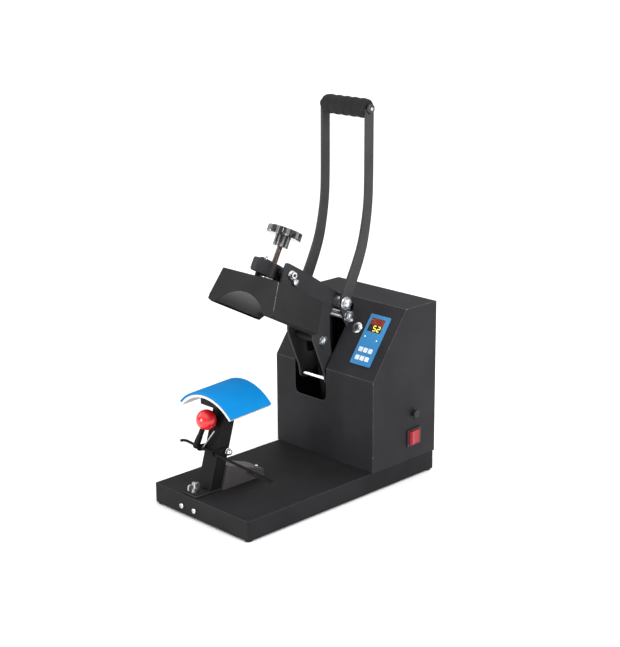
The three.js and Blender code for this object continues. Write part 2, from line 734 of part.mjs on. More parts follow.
function addPivotFrame() {
  const outer = frameInner + frameThickness;
  const side = filleted([p2(frameFront, floorLevel), p2(frameRear, floorLevel),
    p2(armPivotY + frameCrown, armPivotZ + frameCrown), p2(armPivotY - frameCrown, armPivotZ + frameCrown),
    p2(linkLowY, linkLowZ + frameCrown), p2(linkLowY - frameCrown, linkLowZ)],
  [0, 0, frameCrown / 2, frameCrown / 2, frameCrown / 2, frameCrown / 2]);
  const bores = [circle(armPivotY, armPivotZ, holeRadius(armPivotRadius, boltSides), boltSides),
    circle(linkLowY, linkLowZ, holeRadius(linkPinRadius, boltSides), boltSides)];
  const floor = block(-outer - frameFoot, outer + frameFoot, frameFront, frameRear,
    floorLevel, floorLevel + frameThickness);
  press.add(named('pivot_frame', joined(floor, alongX(side, -outer, -frameInner, bores),
    alongX(side, frameInner, outer, bores)), looks.arm));
  press.add(named('arm_pivot_shaft', pinAlongX(armPivotY, armPivotZ, armPivotRadius, [
    [armSpacerRadius, -outer - gap - pinHeadHeight, -outer - gap],
    [armPivotRadius, -outer - gap, -frameInner + gap],
    [armSpacerRadius, -frameInner + gap, -armInner - armThickness - gap],
    [armPivotRadius, -armInner - armThickness - gap, -armInner + gap],
    [armSpacerRadius, -armInner + gap, armInner - gap],
    [armPivotRadius, armInner - gap, armInner + armThickness + gap],
    [armSpacerRadius, armInner + armThickness + gap, frameInner - gap],
    [armPivotRadius, frameInner - gap, outer + gap],
    [armSpacerRadius, outer + gap, outer + gap + pinHeadHeight]], boltSides), looks.zinc));
  press.add(named('link_pivot_pin', pinAlongX(linkLowY, linkLowZ, linkPinRadius, [
    [pinHeadRadius, -outer - gap - pinHeadHeight, -outer - gap],
    [linkPinRadius, -outer - gap, outer + gap],
    [pinHeadRadius, outer + gap, outer + gap + pinHeadHeight]], boltSides), looks.zinc));
}

// Handle bar's centre line: [back, up] from its pivot as shares of the grip's height over it.
const barLineShares = [
  [0.1852, 1], [0.184, 0.82], [0.1827, 0.6343], [0.178, 0.5151], [0.1623, 0.4052],
  [0.1325, 0.2828], [0.0932, 0.1886], [0.0524, 0.107], [0, 0],
];
const barTailShares = [0.4516, 1];
const tailReachBack = 13.2;
const tailReachDown = 38.6;
const barSamples = 26;
const straightSamples = 2;
const straightShare = 0.22;
const widenFromShare = 0.45;
const widenToShare = 0.95;
const capSteps = 8;

function barOutline() {
  const rise = gripZ - handlePivotZ;
  const points = barLineShares.map(([y, z]) => new THREE.Vector3(
    handlePivotY + y * rise, handlePivotZ + z * rise, 0));
  const tail = barTailShares.map((t) => new THREE.Vector3(
    handlePivotY + linkHighBack * t, handlePivotZ + linkHighRise * t, 0));
  const tip = new THREE.Vector3(handlePivotY + tailReachBack, handlePivotZ - tailReachDown, 0);
  const curve = new THREE.CatmullRomCurve3([...points, ...tail, tip], false, 'centripetal');
  const left = [];
  const right = [];
  const share = rise / (rise + tailReachDown);
  for (let k = 0; k <= barSamples; k += 1) {
    const t = k < straightSamples ? straightShare * k / straightSamples
      : straightShare + (1 - straightShare) * (k - straightSamples) / (barSamples - straightSamples);
    const place = curve.getPointAt(Math.min(t, 1));
    const tangent = curve.getTangentAt(Math.min(t, 1));
    const down = (gripZ - place.y) / rise;
    const width = down < 1
      ? barWidth + (barRootWidth - barWidth)
        * THREE.MathUtils.smoothstep(down, widenFromShare, widenToShare)
      : barRootWidth + (barTailWidth - barRootWidth)
        * THREE.MathUtils.clamp((down - 1) / (1 / share - 1), 0, 1);
    const normal = p2(-tangent.y, tangent.x).multiplyScalar(width / 2);
    left.push(p2(place.x, place.y).add(normal));
    right.push(p2(place.x, place.y).sub(normal));
  }
  const cap = (centre, from, radius) => {
    const start = Math.atan2(from.y - centre.y, from.x - centre.x);
    const out = [];
    for (let k = 1; k < capSteps; k += 1) {
      const a = start + Math.PI * k / capSteps;
      out.push(p2(centre.x + radius * Math.cos(a), centre.y + radius * Math.sin(a)));
    }
    return out;
  };
  const end = curve.getPointAt(1);
  const top = curve.getPointAt(0);
  return [...left, ...cap(end, left[left.length - 1], barTailWidth / 2),
    ...right.reverse(), ...cap(top, right[right.length - 1], barWidth / 2)];
}

function addHandle() {
  const outline = barOutline();
  const linkHighY = handlePivotY + linkHighBack;
  const linkHighZ = handlePivotZ + linkHighRise;
  const bores = [
    circle(handlePivotY, handlePivotZ, holeRadius(handlePivotRadius, boltSides), boltSides),
    circle(linkHighY, linkHighZ, holeRadius(linkShaftRadius, boltSides), boltSides),
    circle(gripY, gripZ, holeRadius(gripBoltRadius, boltSides), boltSides),
  ];
  const barOuter = barInner + barThickness;
  const bar = (x0, x1) => cut(alongX(outline, x0, x1),
    ...bores.map((bore) => alongX(bore, x0 - overrun, x1 + overrun)));
  press.add(named('handle_bar_left', bar(-barOuter, -barInner), looks.arm));
  press.add(named('handle_bar_right', bar(barInner, barOuter), looks.arm));
  const half = barInner - gap;
  const profile = [[holeRadius(gripBoltRadius, boltSides), -half], [gripRadius - gripEndFillet, -half]];
  for (let k = 0; k <= gripSamples; k += 1) {
    const t = k / gripSamples;
    const wave = 0.5 - 0.5 * Math.cos(2 * Math.PI * gripRibs * t);
    profile.push([gripRadius - gripRib + gripRib * wave, -half + gripEndFillet + (half - gripEndFillet) * 2 * t]);
  }
  profile.push([gripRadius - gripEndFillet, half], [holeRadius(gripBoltRadius, boltSides), half]);
  profile.push(profile[0]);
  press.add(named('handle_grip', turnedX(revolved(profile, boltSides)).translate(0, gripY, gripZ),
    looks.rubber));
  press.add(named('grip_bolt', pinAlongX(gripY, gripZ, gripBoltRadius, [
    [gripBoltHeadRadius, -barOuter - gap - gripBoltHeadHeight, -barOuter - gap],
    [gripBoltRadius, -barOuter - gap, barOuter + gap],
    [gripBoltHeadRadius, barOuter + gap, barOuter + gap + gripBoltHeadHeight]], boltSides), looks.zinc));
  press.add(named('link_shaft', pinAlongX(linkHighY, linkHighZ, linkShaftRadius, [
    [hexNutRadius, -barOuter - gap - hexNutHeight, -barOuter - gap],
    [linkShaftRadius, -barOuter - gap, -barInner + gap],
    [linkShaftRadius + sheet, -barInner + gap, -linkHalfWidth - gap],
    [linkShaftRadius, -linkHalfWidth - gap, linkHalfWidth + gap],
    [linkShaftRadius + sheet, linkHalfWidth + gap, barInner - gap],
    [linkShaftRadius, barInner - gap, barOuter + gap],
    [hexNutRadius, barOuter + gap, barOuter + gap + hexNutHeight]], boltSides), looks.zinc));

  const eyeY = linkLowY - linkEyeAhead;
  const eyeZ = linkLowZ + linkEyeUp;
  const axis = p2(eyeY - linkHighY, eyeZ - linkHighZ);
  const length = axis.length();
  const turn = Math.atan2(axis.y, axis.x);
  const along = (u, v) => p2(u, v).rotateAround(p2(0, 0), turn).add(p2(linkHighY, linkHighZ));
  const strap = toSolid(alongX([along(0, -linkWaist), along(length, -linkWaist), along(length, linkWaist),
    along(0, linkWaist)], -linkHalfWidth, linkHalfWidth));
  const high = toSolid(alongX(circle(linkHighY, linkHighZ, linkEye, roundSides), -linkHalfWidth, linkHalfWidth));
  const low = toSolid(alongX(circle(eyeY, eyeZ, linkLowEye, roundSides), -linkHalfWidth, linkHalfWidth));
  const highBore = toSolid(alongX(circle(linkHighY, linkHighZ, holeRadius(linkShaftRadius, boltSides), boltSides),
    -linkHalfWidth - overrun, linkHalfWidth + overrun));
  const lowBore = toSolid(alongX(circle(eyeY, eyeZ, linkPinRadius + linkPlay, boltSides),
    -linkHalfWidth - overrun, linkHalfWidth + overrun));
  press.add(named('toggle_link', toGeometry(strap.add(high).add(low).subtract(highBore).subtract(lowBore)),
    looks.zinc));
}

function sector(inner, outer, halfAngle, crest) {
  const centre = -crest - inner;
  const a = degrees(halfAngle);
  return [...arc(0, centre, outer, -a, a, arcSteps), ...arc(0, centre, inner, a, -a, arcSteps)];
}

function addHead() {
  const outline = [p2(-headTopHalf, 0), p2(-headWideHalf, -headWideTop), p2(-headWideHalf, -headWideLow),
    p2(-headTopHalf, -headDepth), p2(headTopHalf, -headDepth), p2(headWideHalf, -headWideLow),
    p2(headWideHalf, -headWideTop), p2(headTopHalf, 0)];
  const radii = [headTopFillet, headTopFillet, sheet, sheet, sheet, sheet, headTopFillet, headTopFillet];
  const inner = inset(outline, sheet);
  const archCentre = -archCrest - archRadius;
  const shell = toSolid(alongY(filleted(outline, radii), 0, headLength))
    .subtract(toSolid(alongY(inner, sheet, headLength - sheet)))
    .subtract(toSolid(alongY(rectangle(-headMouthHalf, headMouthHalf, -headDepth - overrun,
      -headDepth + headMouthDepth), sheet, headLength - sheet)))
    .subtract(toSolid(alongY(circle(0, archCentre, archRadius, 4 * roundSides), -overrun, headLength + overrun)));
  const collar = toSolid(turnedZ(revolved([[0, -sheet / 2], [collarRadius, -sheet / 2],
    [collarRadius, collarHeight], [0, collarHeight]], roundSides)).translate(0, screwBack, 0));
  const bore = toSolid(turnedZ(revolved([[0, 0], [holeRadius(screwRadius, roundSides), 0],
    [holeRadius(screwRadius, roundSides), collarHeight + overrun], [0, collarHeight + overrun]], roundSides))
    .translate(0, screwBack, 0));
  const stud = toSolid(turnedZ(revolved([[0, -sheet / 2], [guideRadius, -sheet / 2],
    [guideRadius, guideTop], [0, guideTop]], boltSides)).translate(0, guideBack, 0));
  head.add(named('head_cover', toGeometry(shell.add(collar).subtract(bore).add(stud)), looks.paint));

  const seat = sheet + gap;
  head.add(named('heated_platen', alongY(sector(platenRadius, platenRadius + platenThickness,
    platenHalfAngle, platenCrest), seat, headLength - seat), looks.platen));
  const heaterInner = platenRadius + platenThickness + gap;
  const heaterCrest = platenCrest - platenThickness - gap;
  head.add(named('heating_element', alongY(sector(heaterInner, heaterInner + heaterThickness,
    heaterHalfAngle, heaterCrest), heaterInset, headLength - heaterInset), looks.rubber));
  const woolRadius = heaterInner + heaterThickness + gap;
  const woolCentre = -(heaterCrest - heaterThickness - gap) - woolRadius;
  const a = Math.asin((headTopHalf - woolSide) / woolRadius);
  const under = arc(0, woolCentre, woolRadius, a, -a, arcSteps);
  const edge = woolRadius * Math.sin(a);
  head.add(named('insulation', alongY([p2(-edge, -seat), p2(edge, -seat), ...under],
    heaterInset, headLength - heaterInset), looks.wool));
}

function addTongue() {
  const bar = alongX(filleted([p2(0, tongueLow), p2(tongueEnd, tongueLow), p2(tongueEnd, tongueHigh),
    p2(0, tongueHigh)], tongueNose), -tongueHalf, tongueHalf);
  const boss = turnedZ(revolved([[0, tongueLow], [tongueBoss, tongueLow], [tongueBoss, tongueHigh],
    [0, tongueHigh]], roundSides)).translate(0, screwBack, 0);
  const sleeveHalf = armInner - gap;
  const bolts = [[frontBoltBack, frontBoltUp], [rearBoltBack, rearBoltUp]];
  const sleeves = bolts.map(([b, c]) => alongX(circle(b, c, tongueSleeve, boltSides), -sleeveHalf, sleeveHalf));
  let solid = toSolid(bar).add(toSolid(boss));
  sleeves.forEach((sleeve) => { solid = solid.add(toSolid(sleeve)); });
  bolts.forEach(([b, c]) => {
    solid = solid.subtract(toSolid(alongX(circle(b, c, holeRadius(tongueBoltRadius, boltSides), boltSides),
      -armInner - overrun, armInner + overrun)));
  });
  const bore = (radius, back, sides) => toSolid(alongZ(circle(0, back, holeRadius(radius, sides), sides),
    tongueLow - overrun, tongueHigh + overrun));
  solid = solid.subtract(bore(screwRadius, screwBack, roundSides))
    .subtract(bore(guideRadius, guideBack, boltSides));
  head.add(named('press_tongue', toGeometry(solid), looks.arm));

  const armOuter = armInner + armThickness;
  [['tongue_bolt_front', frontBoltBack, frontBoltUp, frontBoltHead, frontBoltHeight],
    ['tongue_bolt_rear', rearBoltBack, rearBoltUp, rearBoltHead, rearBoltHeight],
  ].forEach(([name, b, c, headRadius, height]) => {
    head.add(named(name, pinAlongX(b, c, tongueBoltRadius, [
      [headRadius, -armOuter - gap - height, -armOuter - gap],
      [tongueBoltRadius, -armOuter - gap, armOuter + gap],
      [headRadius, armOuter + gap, armOuter + gap + height]], boltSides), looks.zinc));
  });
}

function lobed(radius, depth, lobes, perLobe) {
  const out = [];
  const samples = lobes * perLobe;
  for (let k = 0; k < samples; k += 1) {
    const a = 2 * Math.PI * k / samples;
    const r = radius - depth * (1 - Math.abs(Math.cos(lobes * a / 2)));
    out.push(p2(r * Math.cos(a), r * Math.sin(a)));
  }
  return out;
}

function addKnob() {
  const screwTop = hubLow + hubBoreDepth - gap;
  head.add(named('pressure_screw', turnedZ(revolved([[0, gap], [screwRadius, gap], [screwRadius, screwTop],
    [0, screwTop]], roundSides)).translate(0, screwBack, 0), looks.bronze));
  const disc = new THREE.ExtrudeGeometry(
    new THREE.Shape(lobed(discRadius - discBevel, discLobeDepth, discLobes, 6)),
    { depth: discHigh - discLow - 2 * discBevel, bevelThickness: discBevel, bevelSize: discBevel,
      bevelSegments: 1 }).translate(0, 0, discLow + discBevel);
  const hub = alongZ(lobed(hubRadius, hubFluteDepth, hubFlutes, 4), hubLow, discLow + discBevel);
  const bore = alongZ(circle(0, 0, holeRadius(screwRadius, roundSides), roundSides),
    hubLow - overrun, hubLow + hubBoreDepth);
  const knob = toSolid(disc).add(toSolid(hub)).subtract(toSolid(bore));
  head.add(named('pressure_knob', toGeometry(knob).translate(0, screwBack, 0), looks.plastic));
}

// The stand sits where the closed head comes down: its frame is the head's, swung about the pivot.
function addStand() {
  const close = degrees(closeAngle);
  const swung = p2(headFrontY, headTopZ).rotateAround(p2(armPivotY, armPivotZ), close);
  const padTilt = close - degrees(headTilt);
  const stand = new THREE.Group();
  stand.position.set(0, swung.x, swung.y);
  stand.rotation.x = padTilt;
  press.add(stand);
  const padOuter = platenRadius - padGap - padGap;
  const padCrest = platenCrest + padGap;
  const padInner = padOuter - padThickness;
  const plateOuter = padInner - gap;
  const plateInner = plateOuter - padPlateThickness;
  stand.add(named('blue_pad', alongY(sector(padInner, padOuter, padHalfAngle, padCrest + padThickness),
    padFront, padFront + padDepth), looks.blue));
  const plateCrest = padCrest + padThickness + gap + padPlateThickness;
  stand.add(named('pad_plate', alongY(sector(plateInner, plateOuter, padHalfAngle, plateCrest),
    padFront, padFront + padDepth), looks.aluminium));
  const centre = -plateCrest - plateInner;
  const saddleRadius = plateInner - gap;
  const a = Math.asin(bracketHalf / saddleRadius);
  const bracketBottom = -plateCrest - bracketHeight;
  stand.add(named('pad_bracket', alongY([
    p2(-bracketHalf, bracketBottom), p2(bracketHalf, bracketBottom),
    ...arc(0, centre, saddleRadius, a, -a, arcSteps / 2)],
  padFront + bracketInset, padFront + padDepth - bracketInset), looks.arm));

  const slant = Math.tan(padTilt);
  const lean = Math.tan(degrees(columnLean));
  const under = bracketBottom - gap;
  const planeY = swung.x - under * Math.sin(padTilt);
  const planeZ = swung.y + under * Math.cos(padTilt);
  const columnFoot = floorLevel + footPlateThickness + gap;
  const topOf = (footY) => {
    const z = (planeZ + (footY - columnFoot * lean - planeY) * slant) / (1 - lean * slant);
    return p2(footY + (z - columnFoot) * lean, z);
  };
  const footFrontY = columnFootY + (columnFoot - deckTop) * lean;
  const footRearY = footFrontY + columnDepth / Math.cos(degrees(columnLean));
  const boltHole = circle(columnBoltY, columnBoltZ, holeRadius(columnBoltRadius, boltSides), boltSides);
  press.add(named('stand_column', alongX([p2(footFrontY, columnFoot), p2(footRearY, columnFoot),
    topOf(footRearY), topOf(footFrontY)], -columnHalf, columnHalf, [boltHole]), looks.arm));
  // The channel's top slopes down to the rear, and its front edge follows the leaning column.
  const channelLeanAt = (z) => footRearY + (z - columnFoot) * lean + gap;
  const plate = filleted(rectangle(-footPlateHalf, footPlateHalf, footPlateFront,
    channelLeanAt(floorLevel) - gap),
    [footPlateCorner, footPlateCorner, sheet, sheet]);
  press.add(named('stand_foot_plate', alongZ(plate, floorLevel, floorLevel + footPlateThickness,
    [circle(0, wingY, holeRadius(wingStudRadius, boltSides), boltSides)]), looks.arm));

  const channelSlope = (channelTop - channelRearTop) / (channelLeanAt(channelTop) - channelRear);
  const channelOutline = (rear, bottom) => [p2(channelLeanAt(bottom), bottom), p2(rear, bottom),
    p2(rear, channelRearTop + (rear - channelRear) * channelSlope),
    p2(channelLeanAt(channelTop), channelTop)];
  const channelHollow = inset(channelOutline(channelRear + channelWall + overrun,
    floorLevel - channelWall - overrun), channelWall);
  press.add(named('stand_channel', cut(alongX(channelOutline(channelRear, floorLevel), -channelHalf, channelHalf),
    alongX(channelHollow, -channelHalf + channelWall, channelHalf - channelWall)), looks.arm));

  const nutFoot = floorLevel + footPlateThickness + gap;
  press.add(named('wing_stud', turnedZ(revolved([[0, floorLevel], [wingStudRadius, floorLevel],
    [wingStudRadius, wingStudTop], [0, wingStudTop]], boltSides)).translate(0, wingY, 0), looks.zinc));
  const hub = alongZ(circle(0, 0, wingHubRadius, boltSides), nutFoot, nutFoot + wingHubHeight);
  const wings = [-1, 1].map((side) => alongX(filleted([p2(side * wingStudRadius, nutFoot + sheet),
    p2(side * wingHubRadius, nutFoot + sheet), p2(side * wingSpan, nutFoot + wingHubHeight - sheet),
    p2(side * wingSpan, nutFoot + wingHubHeight + wingRise),
    p2(side * (wingSpan - wingTipRadius * 2), nutFoot + wingHubHeight + wingRise),
    p2(side * wingStudRadius, nutFoot + wingHubHeight - sheet)],
  [0, sheet, wingTipRadius, wingTipRadius, wingTipRadius / 2, 0]), -wingThickness / 2, wingThickness / 2));
  const studBore = alongZ(circle(0, 0, holeRadius(wingStudRadius, boltSides), boltSides),
    nutFoot - overrun, nutFoot + wingHubHeight + wingRise + overrun);
  const nut = wings.reduce((solid, wing) => solid.add(toSolid(wing)), toSolid(hub)).subtract(toSolid(studBore));
  press.add(named('wing_nut', toGeometry(nut).translate(0, wingY, 0), looks.zinc));
}

function tube(points, radius, sides, steps) {
  const outline = circle(0, 0, radius, sides);
  return new THREE.ExtrudeGeometry(new THREE.Shape(outline), {
    extrudePath: new THREE.CatmullRomCurve3(points, false, 'centripetal'), steps, bevelEnabled: false });
}

function addHoldDown() {
  const roll = Math.tan(degrees(rodRoll));
  const at = (x, y, dz) => new THREE.Vector3(x, y, rodZ - x * roll + dz);
  const left = rodLeft - pressX;
  const right = rodRight - pressX;
  const bend = rodReturnPitch / 2;
  const main = [];
  main.push(at(left, rodY - rodHookLength, 0));
  main.push(at(left, rodY - rodHookLength / 2, 0));
  main.push(at(left + rodHookLength / 2, rodY, 0));
  main.push(at(left + rodHookLength, rodY, 0));
  for (let k = 1; k <= rodSteps; k += 1) {
    main.push(at(left + rodHookLength + (right - bend - rodHookLength - left) * k / rodSteps, rodY, 0));
  }
  for (let k = 1; k <= filletSteps + 1; k += 1) {
    const a = Math.PI * k / (filletSteps + 1);
    main.push(at(right - bend + bend * Math.sin(a), rodY - bend + bend * Math.cos(a), 0));
  }
  for (let k = 1; k <= 2; k += 1) {
    main.push(at(right - bend - (rodReturn - bend) * k / 2, rodY - rodReturnPitch, 0));
  }
  const rod = toSolid(tube(main, rodRadius, rodSides, rodSteps * 5));
  const plateOutline = () => {
    const axis = p2(rodY - columnBoltY, rodZ - columnBoltZ);
    const turn = Math.atan2(axis.y, axis.x);
    const out = [];
    for (let k = 0; k <= capSteps; k += 1) {
      const a = turn + Math.PI / 2 + Math.PI * k / capSteps;
      out.push(p2(columnBoltY + yokeWidth / 2 * Math.cos(a), columnBoltZ + yokeWidth / 2 * Math.sin(a)));
    }
    for (let k = 0; k <= capSteps; k += 1) {
      const a = turn - Math.PI / 2 + Math.PI * k / capSteps;
      out.push(p2(rodY + yokeWidth * yokeEndShare * Math.cos(a), rodZ + yokeWidth * yokeEndShare * Math.sin(a)));
    }
    return out;
  };
  const inner = columnHalf + gap;
  const hole = circle(columnBoltY, columnBoltZ, holeRadius(columnBoltRadius, boltSides), boltSides);
  const foot = new THREE.Vector3(stemFootX - pressX, stemFootY, stemFootZ);
  const ball = new THREE.Vector3(ballX - pressX, ballY, ballZ);
  const stemAxis = ball.clone().sub(foot);
  const stemLength = stemAxis.length() - stemSink;
  const stem = revolved([[0, 0], [stemRadius, 0], [stemRadius, stemLength], [0, stemLength]], boltSides)
    .applyQuaternion(new THREE.Quaternion().setFromUnitVectors(Y, stemAxis.clone().normalize()))
    .translate(foot.x, foot.y, foot.z);
  const yoke = rod
    .add(toSolid(alongX(plateOutline(), -inner - yokeThickness, -inner, [hole])))
    .add(toSolid(alongX(plateOutline(), inner, inner + yokeThickness, [hole])))
    .add(toSolid(stem));
  press.add(named('hold_down_yoke', toGeometry(yoke), looks.zinc));
  const ballSolid = toSolid(new THREE.SphereGeometry(ballRadius, roundSides, roundSides / 2)
    .rotateX(Math.PI / 2).translate(ball.x, ball.y, ball.z));
  const socket = revolved([[0, 0], [stemRadius + gap + gap, 0], [stemRadius + gap + gap, stemLength + gap],
    [0, stemLength + gap]], boltSides)
    .applyQuaternion(new THREE.Quaternion().setFromUnitVectors(Y, stemAxis.clone().normalize()))
    .translate(foot.x, foot.y, foot.z);
  press.add(named('hold_down_ball', toGeometry(ballSolid.subtract(toSolid(socket))), looks.red));
  const outer = inner + yokeThickness + gap;
  press.add(named('hold_down_bolt', pinAlongX(columnBoltY, columnBoltZ, columnBoltRadius, [
    [acornRadius, -outer - legNutHeight, -outer],
    [columnBoltRadius, -outer, outer],
    [acornRadius, outer, outer + acornHeight / 2],
    [acornRadius * acornShoulderShare, outer + acornHeight * acornShoulderShare,
      outer + acornHeight * acornShoulderShare],
    [acornRadius * acornTipShare, outer + acornHeight, outer + acornHeight]], boltSides), looks.chrome));
}

addBase();
addTower();
addInlet();
addControls();
addSwitch();
addArm();
addPivotFrame();
addHandle();
addHead();
addTongue();
addKnob();
addStand();
addHoldDown();

// The origin is the centre of the whole machine's footprint box, on the surface it stands on.
const model = new THREE.Group();
model.add(root);
model.updateMatrixWorld(true);
const extent = new THREE.Box3().setFromObject(model, true);
root.position.set(-(extent.min.x + extent.max.x) / 2, -(extent.min.y + extent.max.y) / 2, -extent.min.z);
model.updateMatrixWorld(true);

export default model;
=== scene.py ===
"""Looks of a manual cap heat press: powder-coated sheet steel, zinc and chrome fasteners, a blue pad.

Metres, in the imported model's frame: X to the operator's right, Y to the back, Z up.
"""
import json
import math

import bpy
from mathutils import Matrix, Vector


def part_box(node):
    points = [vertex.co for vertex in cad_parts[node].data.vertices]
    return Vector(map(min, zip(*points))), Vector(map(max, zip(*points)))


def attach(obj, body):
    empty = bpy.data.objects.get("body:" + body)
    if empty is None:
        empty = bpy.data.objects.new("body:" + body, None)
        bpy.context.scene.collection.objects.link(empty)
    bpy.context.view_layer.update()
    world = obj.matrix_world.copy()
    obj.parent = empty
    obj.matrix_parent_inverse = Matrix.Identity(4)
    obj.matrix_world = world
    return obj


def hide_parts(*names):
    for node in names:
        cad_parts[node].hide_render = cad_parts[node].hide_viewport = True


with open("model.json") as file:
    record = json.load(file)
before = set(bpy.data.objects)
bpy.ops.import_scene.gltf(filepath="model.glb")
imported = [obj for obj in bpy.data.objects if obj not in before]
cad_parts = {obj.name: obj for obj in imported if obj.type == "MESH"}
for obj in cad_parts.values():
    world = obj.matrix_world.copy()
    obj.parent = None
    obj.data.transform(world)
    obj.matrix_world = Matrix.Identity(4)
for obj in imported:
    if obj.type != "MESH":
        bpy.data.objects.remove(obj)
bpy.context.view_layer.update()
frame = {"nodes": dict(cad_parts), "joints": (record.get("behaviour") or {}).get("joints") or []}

JOINTS = {joint["name"]: joint for joint in frame["joints"]}
ARM_PIVOT = JOINTS["arm_hinge"]["pos_m"]
CLOSING = math.radians(JOINTS["arm_hinge"]["range_deg"][1])
PRESS_X = ARM_PIVOT[0]
HEAD_TILT = math.radians(27.5)
HEAD_ORIGIN = Vector((PRESS_X, -0.0728, 0.3789))
SLOPE_ANGLE = math.atan2(0.109, 0.079)
SLOPE_ORIGIN = Vector((-0.006, 0.062, 0.196))

# How far from the press's middle the arm plates and handle bars have their inner and outer faces.
ARM_INNER, ARM_OUTER = (corner.x - PRESS_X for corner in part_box("arm_plate_right"))
BAR_INNER, BAR_OUTER = (corner.x - PRESS_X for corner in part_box("handle_bar_right"))
CLEAR = 0.0003
ARM_STOP = ARM_INNER - CLEAR
ARM_SEAT = ARM_OUTER + CLEAR
BAR_STOP = BAR_INNER - CLEAR
BAR_SEAT = BAR_OUTER + CLEAR

MERGE_GAP = 0.00002
FLAT_ANGLE = math.radians(0.5)
EASE_SEGMENTS = 2
SHARP_EDGE = math.radians(32)
DRESSED_SMOOTH = math.radians(38)
WASHER_EASE = 0.0003
HEAD_FACE_INSET = 0.0009
HEAD_FACE_PROUD = 0.0003
SOCKET_DEPTH = 0.0004
LOBE_SAMPLES = 10
PIN_SIDES = 36

HEAD_TURN = Matrix.Rotation(-HEAD_TILT, 4, "X")
HEAD_PLACE = Matrix.Translation(HEAD_ORIGIN) @ HEAD_TURN
SLOPE_PLACE = Matrix.Translation(SLOPE_ORIGIN) @ Matrix.Rotation(SLOPE_ANGLE, 4, "X")
ACROSS = Matrix.Rotation(math.radians(90), 4, "Y")
TURNED_OVER = Matrix.Rotation(math.radians(180), 4, "X")


def middle_of(node_name):
    """The middle of a CAD node's box."""
    low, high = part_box(node_name)
    return (low + high) / 2


def deselect_all():
    if bpy.context.object and bpy.context.object.mode != "OBJECT":
        bpy.ops.object.mode_set(mode="OBJECT")
    bpy.ops.object.select_all(action="DESELECT")


def select_only(piece):
    """Leaves one object selected and active."""
    deselect_all()
    piece.select_set(True)
    bpy.context.view_layer.objects.active = piece


def apply_modifiers(piece):
    select_only(piece)
    for modifier in list(piece.modifiers):
        bpy.ops.object.modifier_apply(modifier=modifier.name)


def bake_place(piece, place):
    """Moves the piece to its place and puts that place into its mesh."""
    piece.matrix_world = place @ piece.matrix_world
    select_only(piece)
    bpy.ops.object.transform_apply(location=True, rotation=True, scale=True)


def join_pieces(pieces, name):
    """Several meshes become one object."""
    deselect_all()
    for piece in pieces:
        piece.select_set(True)
    bpy.context.view_layer.objects.active = pieces[0]
    bpy.ops.object.join()
    pieces[0].name = name
    return pieces[0]


def ease_edges(piece, width, segments=2, crease=30):
    easing = piece.modifiers.new("eased_edges", "BEVEL")
    easing.width = width
    easing.segments = segments
    easing.limit_method = "ANGLE"
    easing.angle_limit = math.radians(crease)
    apply_modifiers(piece)


def hand_over(piece, name, body, material, smooth=35, replaces=()):
    """Names the finished piece, gives it its finish and puts it on its body."""
    piece.name = name
    piece.data.name = name
    select_only(piece)
    bpy.ops.object.shade_smooth_by_angle(angle=math.radians(smooth))
    piece.data.materials.clear()
    piece.data.materials.append(material)
    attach(piece, body)
    if replaces:
        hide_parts(*replaces)
    return piece


def along(direction):
    """Turns the Z axis, on which pieces are modelled, to a direction."""
    return Vector((0, 0, 1)).rotation_difference(Vector(direction)).to_matrix().to_4x4()


def turned(stations, sides=40):
    """A turned form on the Z axis: one disc extruded and scaled from station to station."""
    deselect_all()
    radius, height = stations[0]
    bpy.ops.mesh.primitive_circle_add(vertices=sides, radius=radius, fill_type="NGON",
                                      location=(0, 0, height))
    piece = bpy.context.object
    bpy.ops.object.mode_set(mode="EDIT")
    bpy.ops.mesh.select_all(action="SELECT")
    for next_radius, next_height in stations[1:]:
        bpy.ops.mesh.extrude_region_move(TRANSFORM_OT_translate={"value": (0, 0, next_height - height)})
        share = next_radius / radius
        bpy.ops.transform.resize(value=(share, share, 1))
        radius, height = next_radius, next_height
    bpy.ops.mesh.select_all(action="SELECT")
    bpy.ops.mesh.normals_make_consistent(inside=False)
    bpy.ops.object.mode_set(mode="OBJECT")
    return piece


def fluted(radius, depth, lobes, profile):
    """A turned form whose rim is a ring of rounded lobes with sharp grooves between them.

    The profile holds shares of the radius and heights.
    """
    piece = turned([(radius * share, height) for share, height in profile], lobes * LOBE_SAMPLES)
    for vertex in piece.data.vertices:
        angle = math.atan2(vertex.co.y, vertex.co.x)
        share = 1 - depth / radius * (1 - abs(math.cos(lobes * angle / 2)))
        vertex.co.x *= share
        vertex.co.y *= share
    return piece


def chamfered(radius, low, high, chamfer=0.0004):
    """Stations of a plain round bar or washer with eased ends."""
    return [(radius - chamfer, low), (radius, low + chamfer),
            (radius, high - chamfer), (radius - chamfer, high)]


def hex_head(across, height, chamfer=0.0006):
    """A hexagon nut or bolt head standing on the XY plane, its outer face raised a little inside its rim."""
    deselect_all()
    bpy.ops.mesh.primitive_cylinder_add(vertices=6, radius=across / math.sqrt(3), depth=height,
                                        location=(0, 0, height / 2))
    piece = bpy.context.object
    for face in piece.data.polygons:
        face.select = face.normal.z > 0.9
    bpy.ops.object.mode_set(mode="EDIT")
    bpy.ops.mesh.inset(thickness=HEAD_FACE_INSET, depth=HEAD_FACE_PROUD)
    bpy.ops.object.mode_set(mode="OBJECT")
    ease_edges(piece, chamfer)
    return piece


# Shared surface effects

def node_group(name, inputs, outputs):
    group = bpy.data.node_groups.new(name, "ShaderNodeTree")
    for label, default in inputs:
        socket = group.interface.new_socket(label, in_out="INPUT", socket_type="NodeSocketFloat")
        socket.default_value = default
    for label, kind in outputs:
        group.interface.new_socket(label, in_out="OUTPUT", socket_type=kind)
    entry = group.nodes.new("NodeGroupInput")
    leave = group.nodes.new("NodeGroupOutput")
    return group, entry, leave


